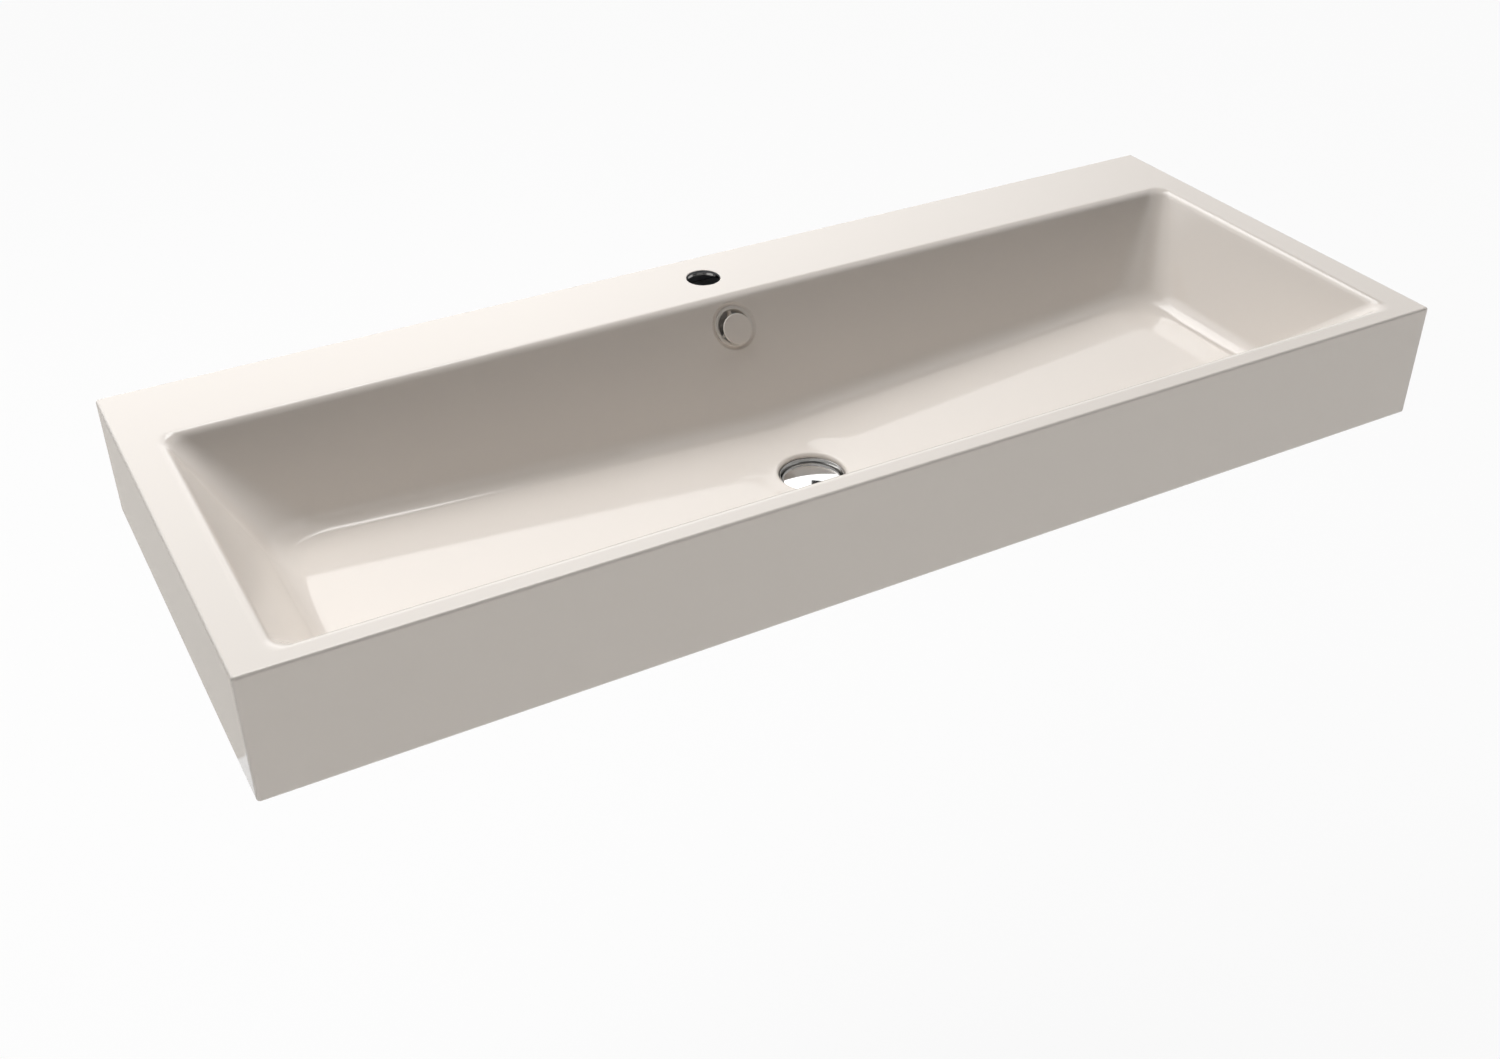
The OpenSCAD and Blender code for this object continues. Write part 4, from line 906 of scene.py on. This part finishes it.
# Flat rings of the waste: the thick seal bulges a little between sheet and washer
def makeSeals():
    s, r, bore = waste, waste.flange[0], waste.shank + play
    half, edge = (s.sealTop - s.washerTop) / 2, 2 * fine
    seal = [arc(r - half, s.washerTop + half, half, -90, 90, 12),
            [[bore + edge, s.sealTop], [bore, s.sealTop - edge], [bore, s.washerTop + edge],
             [bore + edge, s.washerTop]]]
    joinedPiece("body_seal", turned(seal, s.axis))
    washer = softened(boxed(bore, s.bodyTop, r, s.washerTop), small)
    joinedPiece("slip_washer", turned([washer], s.axis))


# The disc and the piston have their radius, lowest level and height, the neck its radius and length, the
# seal its two radii, lowest level and height, and its lip how far it slants and at what share of the height.
plugShape = {
    "radius": 30 * mm, "edge": -13.4 * mm, "crown": -6.4 * mm, "shoulder": -8.0 * mm, "turn": 3 * mm,
    "wall": 1.2 * mm, "disc": (25 * mm, -12.1 * mm, 2 * mm), "neck": (6 * mm, 6 * mm),
    "thread": (1 * mm, 0.3 * mm), "stem": 3 * mm, "seal": (22 * mm, 27 * mm, -13.7 * mm, 1.6 * mm),
    "sealLip": (1.2 * mm, 0.35), "piston": (5.42 * mm, -44.58 * mm, 5 * mm),
}


# Plug: chromed cap with a flat crown, the disc and seal under it, and the stem
def makePlug():
    s = values(plugShape)
    inner, t, half, step = s.radius - s.wall, s.turn, s.wall / 2, 2 * soft
    flat, rise = s.radius - t, s.crown - s.shoulder
    ball = (flat * flat + rise * rise) / (2 * rise)
    spread = math.degrees(math.asin(flat / ball))
    a = np.radians(np.linspace(spread, 0, 24))
    crown = np.stack([ball * np.sin(a), s.crown - ball * (1 - np.cos(a))], axis=1)
    crown[-1, 0] = 0
    discR, discZ, discT = s.disc
    neckR, neckL = s.neck
    discTop, neckEnd, stemTop = discZ + discT, discZ - neckL, discZ - neckL / 2
    cap = [
        [[0, discTop], [inner - small, discTop], [inner, discTop - small], [inner, s.edge + fine]],
        arc(s.radius - half, s.edge + half, half, 180, 360, 8),
        arc(flat, s.shoulder - t, t, 0, 90 - spread, 12), crown[1:],
    ]
    bore = s.stem + play
    disc = [
        [[0, stemTop], [bore, stemTop], [bore, neckEnd], [neckR - soft, neckEnd]],
        stretch(neckR, neckEnd + soft, discZ - 2 * fine), [[neckR + 2 * fine, discZ]],
        softened(boxed(discR - step, discZ, discR, discTop), small, 4, closed=False), [[0, discTop]],
    ]
    sealR, sealOut, low, high = s.seal
    lip, rest = s.sealLip
    ring = softened([[sealR, low], [sealOut - lip, low], [sealOut, low + high * rest], [sealOut, low + high],
                     [sealR, low + high]], small, 5)
    r, z, h = s.piston
    stem = [
        [[0, z]], softened([[r - step, z], [r, z], [r, z + h], [s.stem, z + h]], small, 4, closed=False),
        [[s.stem, z + h + soft], [s.stem, stemTop - fine], [s.stem - fine, stemTop], [0, stemTop]],
    ]
    thread = threadWave(neckEnd + soft, discZ - 2 * fine, *s.thread, neckR)
    for node, outline, steps, wave in (
            ("plug_cap", cap, wideSteps, None), ("plug_disc", disc, usualSteps, thread),
            ("plug_seal", [ring], usualSteps, None), ("plug_stem", stem, thinSteps, None)):
        joinedPiece(node, turned(outline, waste.axis, wave=wave, steps=steps), rideOn=plugBody)


# The collar has its radius and its thickness
sleeveShape = {
    "tube": basin.fixingHole - play, "bore": 5.25 * mm, "long": 5.5 * mm, "collar": (14 * mm, 3 * mm),
}


# Sleeves of the two wall bolts
def makeSleeves():
    s = values(sleeveShape)
    collar, thick = s.collar
    top = s.long + thick
    outline = softened([[s.bore, 0], [s.tube, 0], [s.tube, s.long], [collar, s.long], [collar, top],
                        [s.bore, top]], soft)
    joinedPiece("wall_sleeves", *[turned([outline], (side * basin.fixingX, 0, 0), 90.0, steps=thinSteps)
                                  for side in (-1, 1)])


# The groove has its depth, its share of a cell and the power that shapes it, and the plain border its width
# and the width over which the grooves start
padShape = {
    "start": 110 * mm, "size": (300 * mm, 150 * mm, 4 * mm), "midY": -267 * mm,
    "top": wasteAxis[2] - basin.sheet, "glue": 0.2 * mm, "grid": (241, 121), "cell": 12.5 * mm,
    "groove": (0.9 * mm, 0.14, 0.7), "edge": 1.2 * mm, "plain": (4 * mm, 2 * mm), "inner": 0.97,
}


# Places round the border of a grid
def border(grid):
    return np.concatenate([grid[:-1, 0], grid[-1, :-1], grid[:0:-1, -1], grid[0, :0:-1]])


# Pads under the floor: a face whose depth is a soft diamond grid, with rounded edges and a flat back
def makePads():
    s = values(padShape)
    long, wide, thick = s.size
    u, v = np.meshgrid(*[np.linspace(0, 1, count) for count in s.grid], indexing="ij")
    x, y = u * long, (v - 0.5) * wide
    inset = np.minimum(np.minimum(x, long - x), wide / 2 - np.abs(y))
    curve = s.edge * (1 - np.sqrt(np.clip(1 - (1 - np.clip(inset / s.edge, 0, 1)) ** 2, 0, 1)))
    c = s.cell * math.sqrt(2)
    lines = np.maximum(np.abs(np.cos(np.pi * (x + y) / c)), np.abs(np.cos(np.pi * (x - y) / c)))
    inside = np.clip((inset - s.plain[0]) / s.plain[1], 0, 1)
    deep, share, power = s.groove
    groove = deep * np.clip((lines - 1 + share) / share, 0, 1) ** power * inside
    face = np.stack([x, y, curve + groove - thick], axis=-1)
    grid = np.arange(x.size).reshape(x.shape)
    edge, upper, middle = border(grid), border(face) * [1, 1, 0], np.array([long / 2, 0, 0])
    points = np.concatenate([face.reshape(-1, 3), upper, middle + (upper - middle) * s.inner, [middle]])
    rows = np.stack([edge, np.arange(len(edge)) + x.size, np.arange(len(edge)) + x.size + len(edge)])
    quads = np.concatenate([gridQuads(grid), gridQuads(np.concatenate([rows, rows[:, :1]], axis=1))])
    fan = np.stack([rows[2], np.roll(rows[2], -1), np.full(len(edge), len(points) - 1)], axis=1)
    t = math.radians(basin.tilt)
    px, py, pz = (points + [s.start, 0, -s.glue]).T
    along, up = px * math.cos(t) - pz * math.sin(t), px * math.sin(t) + pz * math.cos(t) + s.top
    # The left pad is the right one mirrored, so its faces are turned round
    skins = [(np.stack([side * along, py + s.midY, up], axis=1), quads[:, ::side], fan[:, ::side])
             for side in (-1, 1)]
    joinedPiece("damping_pads", *skins)


for make in (makeOverflowCap, makeOverflowInsert, makeWasteCup, makeWasteBody, makeOverflowElbow, makeHose,
             makeNuts, makeSeals, makePlug, makeSleeves, makePads):
    make()
print("turned the waste, the overflow and the fixings")


# Stage, light and camera

stage = {
    "floorZ": -0.795, "floorSize": 14.0, "floorColor": (0.92, 0.92, 0.92), "floorRough": 0.9,
    "floorWhite": 0.90, "skyAxis": (0.0, 0.95, 0.30), "skyFrom": -0.1,
    "skyLow": 0.01, "skyHigh": 0.46,  # brightest along the axis
    "camera": (-0.7405, -1.4731, 0.8323), "ahead": (0.4031, 0.7224, -0.5619), "lens": 41.17, "sensor": 36.0,
}
# Way that the light travels, its strength and its spread in degrees
suns = {"softSun": ((-0.45, -0.5, -0.75), 1.2, 40), "topSun": ((0.45, -0.2, -0.87), 0.49, 50)}
# Place, target, size, watts and colour
lamps = {
    "keyLamp": ((-0.30, 1.7, 2.1), (0, -0.23, 0), (1.2, 1.0), 20.7, (1, 1, 1)),
    "ledgeLamp": ((-0.75, 1.0, 1.5), (-0.5, -0.1, 0), (0.6, 0.6), 7.0, (1, 1, 1)),
    "lowLamp": ((-0.3, -3.2, -0.55), (0, -0.46, 0), (3.0, 0.4), 17.2, (1.0, 0.985, 0.955)),
}
# Cards that only reflections see. Level 1 is as bright as the white round the object, and a fade changes it
# along X between two places to an end level. A level card lies between two X and two Y at a height, and an
# upright one stands away between two bearings from +Y towards +X and two heights above the horizon.
cards = {
    "floorCard": {"level": 0.69, "color": (1.0, 0.95, 0.89), "span": (-2.2, -0.35, 0.45, 2.4, -0.78)},
    "windowCard": {"level": 2.4, "fade": (3.1, 8.3, 1.1), "bearings": (-42, 46), "heights": (8, 62),
                   "away": 12.0},
    "darkCard": {"level": 0.02, "bearings": (32.0, 62), "heights": (35.5, 62), "away": 10.0},
    "frontCard": {"level": 0.78, "bearings": (125, 200), "heights": (6, 52), "away": 12.0},
    "zenithCard": {"level": 0.15, "span": (-5, 5, -5, 5, 12)},
    "sparkCard": {"level": 5.5, "bearings": (-14, 28.5), "heights": (44, 59), "away": 9.0},
}


# Node whose output is 1 for rays from the camera, through glass and in reflections, and 0 for the rest
def addSeen(tree):
    path = addNode(tree, "LightPath")
    shown, seen = (addNode(tree, "Math", operation="MAXIMUM") for _ in range(2))
    connect(tree, (path, "Is Camera Ray", shown, 0), (path, "Is Transmission Ray", shown, 1),
            (shown, 0, seen, 0), (path, "Is Glossy Ray", seen, 1))
    return seen


# Flat piece of the stage between four corners
def stagePiece(name, corners, material):
    piece = meshFromArrays(name, corners, [[0, 1, 2, 3]], material, smooth=False)
    return piece


# Corners of a level rectangle
def levelCorners(x0, x1, y0, y1, z):
    return [[x0, y0, z], [x1, y0, z], [x1, y1, z], [x0, y1, z]]


# Pale floor that the camera and reflections see nearly white, with the object's shadow left in it. It is
# clear from below.
def makeFloor():
    s = values(stage)
    material, tree = newMaterial("paleFloor")
    shader = tree.nodes["Principled BSDF"]
    shader.inputs["Base Color"].default_value = (*s.floorColor, 1)
    shader.inputs["Roughness"].default_value = s.floorRough
    share = addNode(tree, "Math", {1: s.floorWhite}, operation="MULTIPLY")
    glow, clear, back = (addNode(tree, kind) for kind in ("Emission", "BsdfTransparent", "NewGeometry"))
    whiten, mix = addNode(tree, "MixShader"), addNode(tree, "MixShader")
    connect(tree, (addSeen(tree), 0, share, 0), (share, 0, whiten, 0), (shader, 0, whiten, 1),
            (glow, 0, whiten, 2), (back, "Backfacing", mix, 0), (whiten, 0, mix, 1), (clear, 0, mix, 2),
            (mix, 0, tree.nodes["Material Output"], "Surface"))
    size = s.floorSize
    stagePiece("paleFloor", levelCorners(-size, size, -size, size, s.floorZ), material)


# White for the camera and for reflections, and a graded sky for what lights the object
def makeWorld():
    s = values(stage)
    world = bpy.data.worlds.new("studio")
    bpy.context.scene.world = world
    world.use_nodes = True
    tree = world.node_tree
    tree.nodes.clear()
    white, sky = addNode(tree, "Background", {"Color": (1, 1, 1, 1)}), addNode(tree, "Background")
    where = addNode(tree, "TexCoord")
    along = addNode(tree, "VectorMath", {1: s.skyAxis}, operation="DOT_PRODUCT")
    level = addNode(tree, "MapRange", interpolation_type="SMOOTHSTEP", inputs={
        "From Min": s.skyFrom, "From Max": 1.0, "To Min": s.skyLow, "To Max": s.skyHigh})
    mix, output = addNode(tree, "MixShader"), addNode(tree, "OutputWorld")
    connect(tree, (where, "Generated", along, 0), (along, "Value", level, "Value"),
            (level, "Result", sky, "Strength"), (addSeen(tree), 0, mix, 0), (sky, 0, mix, 1),
            (white, 0, mix, 2), (mix, 0, output, "Surface"))


# Card in front of the white round the object, level or upright, that only reflections see
def makeCard(name, level, color=(1, 1, 1), fade=None, span=None, bearings=None, heights=None, away=None):
    material, tree = newMaterial(name)
    tree.nodes.remove(tree.nodes["Principled BSDF"])
    glow = addNode(tree, "Emission", {"Color": (*color, 1), "Strength": level})
    connect(tree, (glow, 0, tree.nodes["Material Output"], "Surface"))
    if fade:
        where, along = addNode(tree, "TexCoord"), addNode(tree, "SeparateXYZ")
        change = addNode(tree, "MapRange", {"From Min": fade[0], "From Max": fade[1], "To Min": level,
                                            "To Max": fade[2]})
        connect(tree, (where, "Object", along, 0), (along, "X", change, "Value"),
                (change, "Result", glow, "Strength"))
    if span:
        corners = levelCorners(*span)
    else:
        a, (low, high) = np.radians(bearings), away * np.tan(np.radians(heights))
        (x0, x1), (y0, y1) = away * np.sin(a), away * np.cos(a)
        corners = [[x0, y0, low], [x1, y1, low], [x1, y1, high], [x0, y0, high]]
    card = stagePiece(name, corners, material)
    card.visible_camera = card.visible_diffuse = card.visible_shadow = card.visible_transmission = False


# Object that shines or looks along a direction
def aim(name, data, direction):
    thing = bpy.data.objects.new(name, data)
    bpy.context.collection.objects.link(thing)
    thing.rotation_euler = Vector(direction).to_track_quat("-Z", "Y").to_euler()
    return thing


# Broad soft light from far off, left out of reflections
def sunLight(name, travel, energy, angle):
    data = bpy.data.lights.new(name, "SUN")
    data.energy, data.angle = energy, math.radians(angle)
    aim(name, data, travel).visible_glossy = False


# Soft rectangular lamp that neither the camera nor reflections see
def areaLight(name, at, target, size, watts, color):
    data = bpy.data.lights.new(name, "AREA")
    data.shape, data.color, data.energy = "RECTANGLE", color, watts
    data.size, data.size_y = size
    lamp = aim(name, data, Vector(target) - Vector(at))
    lamp.location = at
    lamp.visible_camera = lamp.visible_glossy = False


# Camera that was solved from the corners of the apron
def makeCamera():
    data = bpy.data.cameras.new("camera")
    data.lens, data.sensor_width = stage["lens"], stage["sensor"]
    camera = aim("camera", data, stage["ahead"])
    camera.location = stage["camera"]
    bpy.context.scene.camera = camera


makeFloor()
makeWorld()
for name, sun in suns.items():
    sunLight(name, *sun)
for name, lamp in lamps.items():
    areaLight(name, *lamp)
for name, card in cards.items():
    makeCard(name, **card)
makeCamera()
bpy.context.scene.view_settings.view_transform = "Standard"
print("set the stage")
